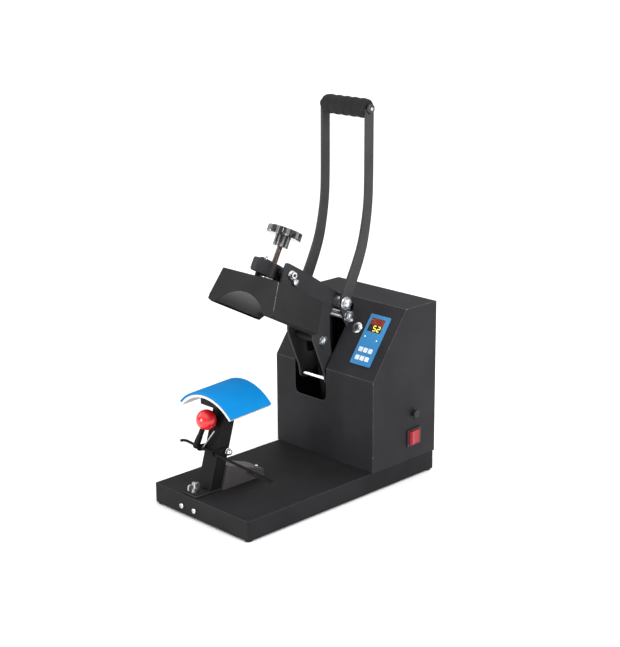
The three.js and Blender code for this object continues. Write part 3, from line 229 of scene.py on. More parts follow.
def grain_group():
    """Fine surface grain with slow cloudy variation, on Object coordinates."""
    group, entry, leave = node_group(
        "surface_grain",
        [("Grain Scale", 900.0), ("Cloud Scale", 14.0), ("Roughness", 0.5), ("Spread", 0.08)],
        [("Roughness", "NodeSocketFloat"), ("Height", "NodeSocketFloat"), ("Cloud", "NodeSocketFloat")],
    )
    nodes, links = group.nodes, group.links
    place = nodes.new("ShaderNodeTexCoord")
    grain = nodes.new("ShaderNodeTexNoise")
    cloud = nodes.new("ShaderNodeTexNoise")
    grain.inputs["Detail"].default_value = 3.0
    cloud.inputs["Detail"].default_value = 4.0
    links.new(place.outputs["Object"], grain.inputs["Vector"])
    links.new(place.outputs["Object"], cloud.inputs["Vector"])
    links.new(entry.outputs["Grain Scale"], grain.inputs["Scale"])
    links.new(entry.outputs["Cloud Scale"], cloud.inputs["Scale"])
    centred = nodes.new("ShaderNodeMath")
    centred.operation = "SUBTRACT"
    centred.inputs[1].default_value = 0.5
    links.new(cloud.outputs["Fac"], centred.inputs[0])
    spread = nodes.new("ShaderNodeMath")
    spread.operation = "MULTIPLY_ADD"
    links.new(centred.outputs[0], spread.inputs[0])
    links.new(entry.outputs["Spread"], spread.inputs[1])
    links.new(entry.outputs["Roughness"], spread.inputs[2])
    links.new(spread.outputs[0], leave.inputs["Roughness"])
    links.new(grain.outputs["Fac"], leave.inputs["Height"])
    links.new(cloud.outputs["Fac"], leave.inputs["Cloud"])
    return group


def brushed_group():
    """Fine drawn lines along X, as on turned or rolled metal."""
    group, entry, leave = node_group(
        "drawn_lines",
        [("Line Scale", 1200.0), ("Stretch", 0.04), ("Roughness", 0.3), ("Spread", 0.2)],
        [("Roughness", "NodeSocketFloat"), ("Height", "NodeSocketFloat")],
    )
    nodes, links = group.nodes, group.links
    place = nodes.new("ShaderNodeTexCoord")
    mapping = nodes.new("ShaderNodeMapping")
    lines = nodes.new("ShaderNodeTexNoise")
    shape = nodes.new("ShaderNodeCombineXYZ")
    links.new(place.outputs["Object"], mapping.inputs["Vector"])
    links.new(entry.outputs["Stretch"], shape.inputs["X"])
    shape.inputs["Y"].default_value = 1.0
    shape.inputs["Z"].default_value = 1.0
    links.new(shape.outputs["Vector"], mapping.inputs["Scale"])
    links.new(mapping.outputs["Vector"], lines.inputs["Vector"])
    links.new(entry.outputs["Line Scale"], lines.inputs["Scale"])
    spread = nodes.new("ShaderNodeMath")
    spread.operation = "MULTIPLY_ADD"
    links.new(lines.outputs["Fac"], spread.inputs[0])
    links.new(entry.outputs["Spread"], spread.inputs[1])
    links.new(entry.outputs["Roughness"], spread.inputs[2])
    links.new(spread.outputs[0], leave.inputs["Roughness"])
    links.new(lines.outputs["Fac"], leave.inputs["Height"])
    return group


def scuff_group():
    """Sparse rubbed specks and short scratches, as a mask."""
    group, entry, leave = node_group(
        "rubbed_specks",
        [("Speck Scale", 260.0), ("Rarity", 0.66)],
        [("Mask", "NodeSocketFloat")],
    )
    nodes, links = group.nodes, group.links
    place = nodes.new("ShaderNodeTexCoord")
    specks = nodes.new("ShaderNodeTexNoise")
    specks.inputs["Detail"].default_value = 5.0
    specks.inputs["Roughness"].default_value = 0.7
    links.new(place.outputs["Object"], specks.inputs["Vector"])
    links.new(entry.outputs["Speck Scale"], specks.inputs["Scale"])
    over = nodes.new("ShaderNodeMath")
    over.operation = "SUBTRACT"
    links.new(specks.outputs["Fac"], over.inputs[0])
    links.new(entry.outputs["Rarity"], over.inputs[1])
    sharp = nodes.new("ShaderNodeMath")
    sharp.operation = "MULTIPLY"
    sharp.use_clamp = True
    sharp.inputs[1].default_value = 14.0
    links.new(over.outputs[0], sharp.inputs[0])
    links.new(sharp.outputs[0], leave.inputs["Mask"])
    return group


GRAIN = grain_group()
LINES = brushed_group()
SCUFFS = scuff_group()


# Finishes

RELIEF_DEPTH = 0.00005


def finish(name, dark, light, roughness, spread=0.08, grain=900.0, bump=0.02, metallic=0.0, coat=0.0,
           lines=False, specular=0.5, rubbed=None, rarity=0.66, glow=None, cloud=14.0):
    """A surface whose colour drifts between two tones, with grain in its roughness and relief."""
    material = bpy.data.materials.new(name)
    material.use_nodes = True
    nodes, links = material.node_tree.nodes, material.node_tree.links
    shader = nodes["Principled BSDF"]
    shader.inputs["Metallic"].default_value = metallic
    shader.inputs["Coat Weight"].default_value = coat
    shader.inputs["Coat Roughness"].default_value = 0.12
    shader.inputs["Specular IOR Level"].default_value = specular
    surface = nodes.new("ShaderNodeGroup")
    surface.node_tree = GRAIN
    surface.inputs["Grain Scale"].default_value = grain
    surface.inputs["Cloud Scale"].default_value = cloud
    surface.inputs["Roughness"].default_value = roughness
    surface.inputs["Spread"].default_value = spread
    ramp = nodes.new("ShaderNodeValToRGB")
    ramp.color_ramp.elements[0].position = 0.35
    ramp.color_ramp.elements[0].color = (*dark, 1)
    ramp.color_ramp.elements[1].position = 0.65
    ramp.color_ramp.elements[1].color = (*light, 1)
    links.new(surface.outputs["Cloud"], ramp.inputs["Fac"])
    tone = ramp.outputs["Color"]
    if rubbed:
        scuffs = nodes.new("ShaderNodeGroup")
        scuffs.node_tree = SCUFFS
        scuffs.inputs["Rarity"].default_value = rarity
        blend = nodes.new("ShaderNodeMix")
        blend.data_type = "RGBA"
        blend.inputs["B"].default_value = (*rubbed, 1)
        links.new(scuffs.outputs["Mask"], blend.inputs["Factor"])
        links.new(tone, blend.inputs["A"])
        tone = blend.outputs["Result"]
    links.new(tone, shader.inputs["Base Color"])
    if glow:
        shader.inputs["Emission Strength"].default_value = glow
        links.new(tone, shader.inputs["Emission Color"])
    relief = nodes.new("ShaderNodeBump")
    relief.inputs["Strength"].default_value = bump
    relief.inputs["Distance"].default_value = RELIEF_DEPTH
    source = surface
    if lines:
        source = nodes.new("ShaderNodeGroup")
        source.node_tree = LINES
        source.inputs["Roughness"].default_value = roughness
        source.inputs["Spread"].default_value = spread
    links.new(source.outputs["Roughness"], shader.inputs["Roughness"])
    links.new(source.outputs["Height"], relief.inputs["Height"])
    links.new(relief.outputs["Normal"], shader.inputs["Normal"])
    return material


PAINT_DARK = (0.0173, 0.0167, 0.0184)
PAINT_LIGHT = (0.0237, 0.023, 0.0254)
BLACK_PAINT = finish("black_powder_coat", PAINT_DARK, PAINT_LIGHT, 0.62, bump=0.3, specular=0.12)
HEAD_PAINT = finish("head_powder_coat", (0.0143, 0.0143, 0.0145), (0.0196, 0.0196, 0.0199), 0.6, bump=0.3,
                    specular=0.12)
# The deck and base tray take a darker copy of the black powder coat: painted shade for the deck's shade
# under the housing.
SHADED_DECK_PAINT = finish("deck_powder_coat_painted_shade", (0.0107, 0.0104, 0.0112), (0.0156, 0.0151, 0.0163), 0.62, bump=0.3,
                    specular=0.1)
DARK_STEEL = finish("black_arm_paint", (0.022, 0.022, 0.023), (0.031, 0.031, 0.033), 0.5, bump=0.25,
                    specular=0.18)
BAR_PAINT = finish("black_handle_paint", (0.0305, 0.0305, 0.031), (0.0415, 0.0415, 0.042), 0.5, bump=0.25,
                   specular=0.2)
STAND_STEEL = finish("black_stand_paint", (0.0062, 0.0062, 0.0064), (0.0098, 0.0098, 0.0102), 0.5, bump=0.25,
                     specular=0.1)
CHANNEL_PAINT = finish("bare_grey_channel", (0.045, 0.042, 0.043), (0.062, 0.058, 0.06), 0.5, bump=0.25,
                       specular=0.2)
# Lighter edge paint with rubbed specks: wear, and a painted highlight where edges catch light.
EDGE_WEAR_AND_HIGHLIGHT = finish("worn_and_highlit_paint_edge", (0.028, 0.028, 0.029), (0.052, 0.052, 0.054), 0.45, bump=0.3,
                   specular=0.2, rubbed=(0.2, 0.2, 0.205), rarity=0.6)
# The head cover's edge finish is a painted highlight, much lighter than its paint, with rubbed specks.
COVER_EDGE_HIGHLIGHT = finish("cover_edge_painted_highlight", (0.07, 0.066, 0.064), (0.17, 0.16, 0.155), 0.45, bump=0.3,
                     specular=0.25, rubbed=(0.4, 0.38, 0.37), rarity=0.58, cloud=60.0)
ZINC = finish("zinc_plate", (0.62, 0.63, 0.65), (0.78, 0.79, 0.8), 0.2, 0.16, metallic=1.0, lines=True)
DULL_ZINC = finish("dull_zinc_plate", (0.3, 0.3, 0.31), (0.55, 0.55, 0.56), 0.34, 0.2, metallic=1.0)
CHROME = finish("chrome_plate", (0.8, 0.8, 0.82), (0.9, 0.9, 0.91), 0.08, 0.05, metallic=1.0)
SOCKET_DARK = finish("socket_shadow", (0.03, 0.03, 0.032), (0.05, 0.05, 0.053), 0.5, metallic=0.6)
THREAD_STEEL = finish("oiled_thread_steel", (0.2, 0.17, 0.15), (0.36, 0.31, 0.28), 0.3, 0.2, metallic=1.0)
DARK_ROD = finish("blackened_rod", (0.003, 0.003, 0.003), (0.006, 0.0055, 0.0055), 0.42, 0.1, bump=0.1,
                  specular=0.1, rubbed=(0.16, 0.15, 0.145), rarity=0.66)
ALUMINIUM = finish("rolled_aluminium", (0.6, 0.6, 0.6), (0.7, 0.7, 0.7), 0.45, 0.1, metallic=0.35)
PLATEN = finish("machined_platen", (0.026, 0.026, 0.026), (0.044, 0.044, 0.044), 0.36, 0.2, metallic=0.5,
                lines=True)
RUBBER = finish("foam_grip_rubber", (0.008, 0.008, 0.0084), (0.0125, 0.0125, 0.0132), 0.75, bump=0.6,
                grain=1500, specular=0.22)
BLACK_PLASTIC = finish("moulded_black_plastic", (0.008, 0.008, 0.009), (0.013, 0.013, 0.014), 0.4, bump=0.2,
                       specular=0.4)
KNOB_PLASTIC = finish("glossy_black_phenolic", (0.004, 0.004, 0.0045), (0.007, 0.007, 0.0075), 0.12, 0.04,
                      bump=0.05, coat=0.6, specular=0.3)
# A lighter finish on the knob's lobe crests: painted highlight for the reflections along its flutes.
KNOB_RIDGE_HIGHLIGHT = finish("knob_ridge_painted_highlight", (0.07, 0.07, 0.07), (0.17, 0.17, 0.17), 0.2, 0.05, bump=0.05,
                    coat=0.7)
PANEL = finish("blue_panel_film", (0.03, 0.172, 0.37), (0.043, 0.21, 0.43), 0.4, bump=0.1, specular=0.3)
DISPLAY_RED = finish("display_tint", (0.16, 0.016, 0.008), (0.24, 0.03, 0.012), 0.25, specular=0.3,
                     cloud=60.0)
DISPLAY_DARK = finish("display_window_dark", (0.01, 0.012, 0.012), (0.02, 0.02, 0.02), 0.25, specular=0.3)
DIGIT = finish("lit_digit", (0.85, 0.72, 0.05), (0.95, 0.82, 0.1), 0.4, glow=0.55, cloud=200.0)
LED = finish("lit_indicator", (0.6, 0.75, 0.85), (0.7, 0.85, 0.92), 0.3, glow=0.2, cloud=200.0)
BUTTON = finish("pale_keys", (0.55, 0.62, 0.7), (0.68, 0.75, 0.82), 0.45, bump=0.15, cloud=90.0)
RED = finish("red_gloss_plastic", (0.68, 0.012, 0.018), (0.74, 0.016, 0.023), 0.2, coat=0.45)
ROCKER_RED = finish("lit_rocker_red", (0.27, 0.003, 0.011), (0.4, 0.008, 0.021), 0.3, coat=0.1,
                     specular=0.3)
BLUE_PAD = finish("blue_silicone", (0.0005, 0.175, 0.46), (0.001, 0.203, 0.52), 0.7, bump=0.5, grain=1300,
                  specular=0.1)
WOOL = finish("mineral_wool", (0.5, 0.46, 0.38), (0.66, 0.6, 0.5), 0.95, bump=0.9, grain=400)
ELEMENT = finish("element_silicone", (0.22, 0.06, 0.02), (0.3, 0.09, 0.03), 0.6, bump=0.4)

# Lighter finishes for the eased edges of painted parts: rubbed wear plus a painted highlight along the
# edges.
WEAR_AND_HIGHLIGHT_EDGES = {BLACK_PAINT.name: EDGE_WEAR_AND_HIGHLIGHT, HEAD_PAINT.name: COVER_EDGE_HIGHLIGHT, SHADED_DECK_PAINT.name: EDGE_WEAR_AND_HIGHLIGHT,
              DARK_STEEL.name: EDGE_WEAR_AND_HIGHLIGHT, BAR_PAINT.name: EDGE_WEAR_AND_HIGHLIGHT}


# CAD shapes that are right as they are, given eased edges and a finish

def dressed(node_name, body, material, bevel):
    """A CAD node's own shape with its edges eased, standing in for the node; on painted parts the eased
    edges take a lighter finish, rubbed wear and painted highlight.
    """
    node = frame["nodes"][node_name]
    piece = node.copy()
    piece.data = node.data.copy()
    piece.name = node_name + "_finish"
    for key in list(piece.keys()):
        if key.startswith("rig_"):
            del piece[key]
    bpy.context.collection.objects.link(piece)
    piece.parent = None
    piece.matrix_world = Matrix.Identity(4)
    select_only(piece)
    bpy.ops.object.mode_set(mode="EDIT")
    bpy.ops.mesh.select_all(action="SELECT")
    bpy.ops.mesh.remove_doubles(threshold=MERGE_GAP)
    bpy.ops.mesh.dissolve_limited(angle_limit=FLAT_ANGLE)
    bpy.ops.object.mode_set(mode="OBJECT")
    piece.data.materials.clear()
    piece.data.materials.append(material)
    easing = piece.modifiers.new("eased_edges", "BEVEL")
    easing.width = bevel
    easing.segments = EASE_SEGMENTS
    easing.limit_method = "ANGLE"
    easing.angle_limit = SHARP_EDGE
    if material.name in WEAR_AND_HIGHLIGHT_EDGES:
        piece.data.materials.append(WEAR_AND_HIGHLIGHT_EDGES[material.name])
        easing.material = 1
    apply_modifiers(piece)
    select_only(piece)
    bpy.ops.object.shade_smooth_by_angle(angle=DRESSED_SMOOTH)
    even = piece.modifiers.new("even_normals", "WEIGHTED_NORMAL")
    even.keep_sharp = True
    apply_modifiers(piece)
    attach(piece, body)
    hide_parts(node_name)
    return piece


STRIP_WIDTH = 0.0014
STRIP_LOW, STRIP_HIGH = -0.047, -0.0015
STRIP_SIDE = 0.0655
STRIP_FACING = 0.6


def highlight_cover_corners(cover):
    """Gives a narrow strip on the cover's sides, along its two front corners, the lighter edge finish: a
    painted highlight along the corners.
    """
    select_only(cover)
    bpy.ops.object.mode_set(mode="EDIT")
    bpy.ops.mesh.select_all(action="SELECT")
    turn = HEAD_PLACE.to_3x3()
    bpy.ops.mesh.bisect(plane_co=HEAD_PLACE @ Vector((0, STRIP_WIDTH, 0)), plane_no=turn @ Vector((0, 1, 0)))
    bpy.ops.object.mode_set(mode="OBJECT")
    for face in cover.data.polygons:
        middle = HEAD_PLACE.inverted() @ face.center
        outward = (turn.inverted() @ face.normal).x * math.copysign(1, middle.x)
        beside = abs(middle.x) > STRIP_SIDE and outward > STRIP_FACING
        if beside and middle.y < STRIP_WIDTH and STRIP_LOW < middle.z < STRIP_HIGH:
            face.material_index = 1


MACHINE = [
    ("base_tray", "deck_paint", SHADED_DECK_PAINT, 0.0007),
    ("tower_housing", "black_paint", BLACK_PAINT, 0.0007),
    ("rear_panel", "black_paint", BLACK_PAINT, 0.0003),
    ("power_inlet", "black_plastic", BLACK_PLASTIC, 0.0004),
    ("control_panel", "panel_film", PANEL, 0.0004),
    ("controller_box", "black_plastic", BLACK_PLASTIC, 0.0005),
    ("display_window", "display", DISPLAY_RED, 0.0003),
    ("switch_bezel", "black_plastic", BLACK_PLASTIC, 0.0005),
    ("fuse_holder", "black_plastic", BLACK_PLASTIC, 0.0004),
    ("pivot_frame", "dark_steel", STAND_STEEL, 0.0004),
    ("stand_column", "dark_steel", STAND_STEEL, 0.0012),
    ("stand_foot_plate", "dark_steel", SHADED_DECK_PAINT, 0.0005),
    ("stand_channel", "dark_steel", CHANNEL_PAINT, 0.0004),
    ("pad_bracket", "dark_steel", STAND_STEEL, 0.0006),
    ("pad_plate", "aluminium", ALUMINIUM, 0.0004),
    *((f"base_foot_{number}", "rubber", RUBBER, 0.0004) for number in range(1, 5)),
]
ARM = [
    ("arm_plate_left", "dark_steel", DARK_STEEL, 0.0004),
    ("arm_plate_right", "dark_steel", DARK_STEEL, 0.0004),
    ("press_tongue", "dark_steel", DARK_STEEL, 0.0006),
]
HEAD = [
    ("head_cover", "black_paint", HEAD_PAINT, 0.0008),
    ("heated_platen", "platen_aluminium", PLATEN, 0.0003),
    ("heating_element", "element_rubber", ELEMENT, 0.0003),
]
HANDLE = [
    ("handle_bar_left", "dark_steel", BAR_PAINT, 0.0005),
    ("handle_bar_right", "dark_steel", BAR_PAINT, 0.0005),
]

for body, nodes in (("machine", MACHINE), ("press_arm", ARM), ("press_head", HEAD), ("handle", HANDLE)):
    for node_name, slot, material, bevel in nodes:
        dressed(node_name, body, material, bevel)
highlight_cover_corners(bpy.data.objects["head_cover_finish"])
dressed("toggle_link", "toggle", STAND_STEEL, 0.0006)
dressed("wing_nut", "stand_wing_nut", DULL_ZINC, 0.0005)
dressed("rocker_switch", "power_rocker", ROCKER_RED, 0.0006)
dressed("fuse_cap", "fuse_knob", BLACK_PLASTIC, 0.0004)
for number in range(1, 7):
    dressed(f"button_{number}", f"key_{number}", BUTTON, 0.0004)


# Pins, nuts and bolts across the press: modelled on Z, then laid along X

SHAFT_RADIUS = 0.006
SHAFT_COLLAR = 0.009
LINK_SHAFT_RADIUS = 0.005
LINK_SHAFT_COLLAR = 0.0065
LINK_SIDE = 0.0083
BOLT_RADIUS = 0.004
SLEEVE_RADIUS = 0.0065
CROSS_ROD_RADIUS = 0.0035
CROSS_ROD_HALF = 0.0335
GRIP_SOCKET_SEAT = BAR_SEAT + 0.0038
TONGUE_SOCKET_SEAT = ARM_SEAT + 0.0076


def across(middle, turn=Matrix.Identity(4)):
    """The place of a pin with this middle, its Z axis laid along the press's X."""
    return Matrix.Translation(middle) @ turn @ ACROSS


def socket_recess(across_flats, height):
    """A six-sided insert that shows as the socket in a bolt head's end."""
    deselect_all()
    bpy.ops.mesh.primitive_cylinder_add(vertices=6, radius=across_flats / math.sqrt(3), depth=SOCKET_DEPTH,
                                        location=(0, 0, height + SOCKET_DEPTH / 2))
    piece = bpy.context.object
    ease_edges(piece, SOCKET_DEPTH / 3, 1)
    return piece


def end_pair(make, reach):
    """The same end piece on both ends of a pin, standing outwards from plus and minus reach."""
    pieces = []
    for turn in (Matrix.Identity(4), TURNED_OVER):
        piece = make()
        bake_place(piece, turn @ Matrix.Translation((0, 0, reach)))
        pieces.append(piece)
    return pieces


def dome_nut():
    """A capped nut: washer flange, six flats and a dome."""
    washer = turned([(0.0098, 0), (0.011, 0.0003), (0.011, 0.0018), (0.0104, 0.0022)])
    flats = hex_head(0.0172, 0.0034, 0.0007)
    bake_place(flats, Matrix.Translation((0, 0, 0.0022)))
    dome = turned([(0.0082, 0), (0.0081, 0.001), (0.0074, 0.0026), (0.006, 0.004), (0.0042, 0.0049),
                   (0.0021, 0.0054), (0.0006, 0.0055)])
    bake_place(dome, Matrix.Translation((0, 0, 0.0055)))
    return join_pieces([washer, flats, dome], "dome_nut")


def hex_nut(across_flats, height, stud_radius, stud_height=0.0012):
    """A nut on its washer, with the bolt's end standing proud of it."""
    washer_top = 0.0012
    washer = turned(chamfered(across_flats * 0.56, 0, washer_top, WASHER_EASE))
    nut = hex_head(across_flats, height - washer_top)
    bake_place(nut, Matrix.Translation((0, 0, washer_top)))
    end = turned([(stud_radius, 0), (stud_radius, stud_height * 0.6), (stud_radius - 0.0008, stud_height)],
                 28)
    bake_place(end, Matrix.Translation((0, 0, height)))
    return join_pieces([washer, nut, end], "nut")


def round_head(radius, height):
    """A low button head with eased rim."""
    return turned([(radius - 0.0003, 0), (radius, 0.0004), (radius, height * 0.45),
                   (radius * 0.93, height * 0.72), (radius * 0.72, height * 0.93), (radius * 0.4, height)])


def conical_head(radius, height):
    """A cupped washer under a round socket head."""
    cup = turned([(radius, 0), (radius, 0.001), (radius * 0.84, height * 0.42),
                  (radius * 0.8, height * 0.45)])
    cap_radius = radius * 0.72
    cap = turned([(cap_radius, 0), (cap_radius, height * 0.48), (cap_radius - 0.0006, height * 0.55),
                  (cap_radius * 0.62, height * 0.55), (cap_radius * 0.58, height * 0.46)])
    bake_place(cap, Matrix.Translation((0, 0, height * 0.45)))
    return join_pieces([cup, cap], "socket_head")


def pin_piece(name, body, place, bars, ends, material=ZINC):
    """A pin made of round bars along its axis, with an end piece on each side."""
    pieces = []
    for radius, low, high in bars:
        pieces.append(turned(chamfered(radius, low, high), PIN_SIDES))
    if ends:
        make, reach = ends
        pieces.extend(end_pair(make, reach))
    piece = join_pieces(pieces, name)
    bake_place(piece, place)
    return hand_over(piece, name + "_finish", body, material, replaces=[name])


def socket_pair(name, body, place, across_flats, reach, material=SOCKET_DARK):
    """Six-sided sockets showing in both heads of a bolt."""
    piece = join_pieces(end_pair(lambda: socket_recess(across_flats, 0), reach), name)
    bake_place(piece, place)
    return hand_over(piece, name, body, material)


pin_piece("handle_pivot_shaft", "press_arm", across(JOINTS["handle_hinge"]["pos_m"]), [
    (SHAFT_RADIUS, -BAR_SEAT, BAR_SEAT),
    (SHAFT_COLLAR, -BAR_STOP, -ARM_SEAT),
    (SHAFT_COLLAR, -ARM_STOP, ARM_STOP),
    (SHAFT_COLLAR, ARM_SEAT, BAR_STOP)], (dome_nut, BAR_SEAT))
pin_piece("link_shaft", "handle", across(JOINTS["toggle_hinge"]["pos_m"]), [
    (LINK_SHAFT_RADIUS, -BAR_SEAT, BAR_SEAT),
    (LINK_SHAFT_COLLAR, -BAR_STOP, -LINK_SIDE),
    (LINK_SHAFT_COLLAR, LINK_SIDE, BAR_STOP)],
    (lambda: hex_nut(across_flats=0.0158, height=0.0068, stud_radius=0.0048), BAR_SEAT))
on_leg_bolt = across(middle_of("leg_bolt"))
pin_piece("leg_bolt", "press_arm", on_leg_bolt, [(BOLT_RADIUS, -ARM_SEAT, ARM_SEAT)],
          (lambda: hex_nut(across_flats=0.0138, height=0.0058, stud_radius=0.0038), ARM_SEAT))
sleeve = turned(chamfered(SLEEVE_RADIUS, -ARM_STOP, ARM_STOP), PIN_SIDES)
bake_place(sleeve, on_leg_bolt)
hand_over(sleeve, "leg_bolt_sleeve", "press_arm", STAND_STEEL)
pin_piece("cross_rod", "press_arm", across(middle_of("cross_rod")),
          [(CROSS_ROD_RADIUS, -CROSS_ROD_HALF, CROSS_ROD_HALF)], None, CHROME)
on_grip_bolt = across(middle_of("grip_bolt"))
pin_piece("grip_bolt", "handle", on_grip_bolt, [(BOLT_RADIUS, -BAR_SEAT, BAR_SEAT)],
          (lambda: round_head(radius=0.008, height=0.004), BAR_SEAT), SOCKET_DARK)
socket_pair("grip_bolt_sockets", "handle", on_grip_bolt, 0.0058, GRIP_SOCKET_SEAT, ZINC)
on_front_bolt = across(middle_of("tongue_bolt_front"), HEAD_TURN)
pin_piece("tongue_bolt_front", "press_arm", on_front_bolt, [(BOLT_RADIUS, -ARM_SEAT, ARM_SEAT)],
          (lambda: conical_head(radius=0.008, height=0.008), ARM_SEAT))
# The tongue bolt's sockets are dark inserts: painted shade for their hollows.
socket_pair("tongue_bolt_sockets", "press_arm", on_front_bolt, 0.005, TONGUE_SOCKET_SEAT)
on_rear_bolt = across(middle_of("tongue_bolt_rear"), HEAD_TURN)
pin_piece("tongue_bolt_rear", "press_arm", on_rear_bolt, [(BOLT_RADIUS, -ARM_SEAT, ARM_SEAT)],
          (lambda: hex_nut(across_flats=0.0096, height=0.0038, stud_radius=0.003, stud_height=0.0008),
           ARM_SEAT))

for name in ("arm_pivot_shaft", "link_pivot_pin"):
    dressed(name, "machine", ZINC, 0.0003)


# Pressure screw with its knob and washers, the stand's stud and the head's guide

THREAD_STEPS = 24
THREAD_MERGE = 0.000002


def threaded_rod(radius, depth, pitch, low, high):
    """A rod with a running thread: a notch swept up a helix, its ends cut square and closed."""
    start = low - pitch * 1.3
    deselect_all()
    bpy.ops.mesh.primitive_plane_add(size=1, location=(0, 0, 0))
    piece = bpy.context.object
    bpy.ops.object.mode_set(mode="EDIT")
    bpy.ops.mesh.select_all(action="SELECT")
    bpy.ops.mesh.delete(type="ONLY_FACE")
    bpy.ops.mesh.select_all(action="DESELECT")
    bpy.ops.object.mode_set(mode="OBJECT")
    middle, top, bottom, spare = sorted(piece.data.vertices, key=lambda v: (v.co.x, v.co.y))
    top.co = (radius, 0, start + pitch)
    middle.co = (radius - depth, 0, start + pitch / 2)
    bottom.co = (radius, 0, start)
    spare.select = True
    bpy.ops.object.mode_set(mode="EDIT")
    bpy.ops.mesh.delete(type="VERT")
    bpy.ops.object.mode_set(mode="OBJECT")
    sweep = piece.modifiers.new("thread", "SCREW")
    sweep.axis = "Z"
    sweep.angle = 2 * math.pi
    sweep.screw_offset = pitch
    sweep.iterations = int((high - low) / pitch) + 4
    sweep.steps = THREAD_STEPS
    sweep.render_steps = THREAD_STEPS
    sweep.use_merge_vertices = True
    sweep.merge_threshold = THREAD_MERGE
    apply_modifiers(piece)
    for height, inner in ((low, True), (high, False)):
        bpy.ops.object.mode_set(mode="EDIT")
        bpy.ops.mesh.select_all(action="SELECT")
        bpy.ops.mesh.remove_doubles(threshold=THREAD_MERGE)
        bpy.ops.mesh.bisect(plane_co=(0, 0, height), plane_no=(0, 0, 1), use_fill=True,
                            clear_inner=inner, clear_outer=not inner)
        bpy.ops.object.mode_set(mode="OBJECT")
    bpy.ops.object.mode_set(mode="EDIT")
    bpy.ops.mesh.select_all(action="SELECT")
    bpy.ops.mesh.normals_make_consistent(inside=False)
    bpy.ops.object.mode_set(mode="OBJECT")
    return piece


GUIDE_BACK = 0.022
ON_SCREW = Matrix.Translation(JOINTS["knob_turn"]["pos_m"]) @ HEAD_TURN
ON_GUIDE = HEAD_PLACE @ Matrix.Translation((0, GUIDE_BACK, 0))
KNOB_LOBES = 12
HUB_LOBES = 10
DISC_FOOT = 0.078
CREST_SHARE = 0.8
RIM_FACING = 0.8

screw = threaded_rod(radius=0.00475, depth=0.00055, pitch=0.0015, low=0.0003, high=0.0717)
bake_place(screw, ON_SCREW)
hand_over(screw, "pressure_screw_finish", "pressure_adjuster", THREAD_STEEL, 50, ["pressure_screw"])

stud_middle = middle_of("wing_stud")
stud_foot, stud_top = (corner.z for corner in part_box("wing_stud"))
stud = threaded_rod(radius=0.003, depth=0.0004, pitch=0.001, low=stud_foot, high=stud_top)
bake_place(stud, Matrix.Translation((stud_middle.x, stud_middle.y, 0)))
hand_over(stud, "wing_stud_finish", "machine", DULL_ZINC, 50, ["wing_stud"])

disc = fluted(radius=0.0284, depth=0.0034, lobes=KNOB_LOBES,
              profile=[(1, DISC_FOOT), (1.056, 0.0796), (1.056, 0.0894), (1, 0.091), (0.62, 0.091),
                       (0.58, 0.0902)])
hub = fluted(radius=0.0126, depth=0.0016, lobes=HUB_LOBES,
             profile=[(1, 0.0601), (1.03, 0.0606), (1.03, 0.0785)])
knob = join_pieces([disc, hub], "pressure_knob")
# Faces on the lobe crests get the painted highlight finish.
highlit_ridges = []
for face in knob.data.polygons:
    lobes = KNOB_LOBES if face.center.z > DISC_FOOT else HUB_LOBES
    crest = abs(math.cos(lobes * math.atan2(face.center.y, face.center.x) / 2)) > CREST_SHARE
    if crest and abs(face.normal.z) < RIM_FACING:
        highlit_ridges.append(face.index)
bake_place(knob, ON_SCREW)
hand_over(knob, "pressure_knob_finish", "pressure_adjuster", KNOB_PLASTIC, 40,
          ["pressure_knob"])
knob.data.materials.append(KNOB_RIDGE_HIGHLIGHT)
for index in highlit_ridges:
    knob.data.polygons[index].material_index = 1

guide = turned([(0.0021, 0.0312), (0.0023, 0.0315), (0.0023, 0.0424), (0.0019, 0.0432)], 28)
bake_place(guide, ON_GUIDE)
hand_over(guide, "guide_stud_chrome", "press_head", CHROME)

for name, place, radius, foot, top in (("screw_washer", ON_SCREW, 0.0128, 0.0041, 0.0057),
                                       ("stud_washer", ON_GUIDE, 0.0055, 0.0002, 0.0016)):
    washer = turned(chamfered(radius, foot, top, WASHER_EASE))
    bake_place(washer, place)
    hand_over(washer, name, "press_head", CHROME)


# Hold-down clamp: bent rod with its returned end, two cheeks, the ball on its stem

CLAMP_PIVOT = JOINTS["hold_down_hinge"]["pos_m"]
ROD_Y = -0.1745
ROD_Z = 0.104
ROD_FALL = math.tan(math.radians(3.5))
ROD_RADIUS = 0.0024
ROD_LEFT, ROD_RIGHT = -0.057, 0.15568
HOOK_RADIUS = 0.007
HOOK_STEPS = 6
BEND_RADIUS = 0.0028
BEND_STEPS = 10
RETURN_LENGTH = 0.052
CHEEK_X = 0.0178
CHEEK_HALF = 0.0015
CHEEK_PIVOT_RADIUS = 0.0065
CHEEK_ROD_RADIUS = 0.0054
STEM_FOOT = Vector((PRESS_X - 0.022, -0.1785, 0.107))
BALL = middle_of("hold_down_ball")
BALL_RADIUS = 0.017
BALL_FROM, BALL_TO = 158, 2
BALL_STEPS = 28
STAY_FOOT_X = -0.0109
STAY_TOP = Vector((PRESS_X + 0.0106, -0.166, 0.1378))
CLAMP_SEAT = 0.0196


def rod_point(x, y):
    """A point of the rod's middle line; the rod falls a little to the right."""
    return Vector((PRESS_X + x, y, ROD_Z - x * ROD_FALL))


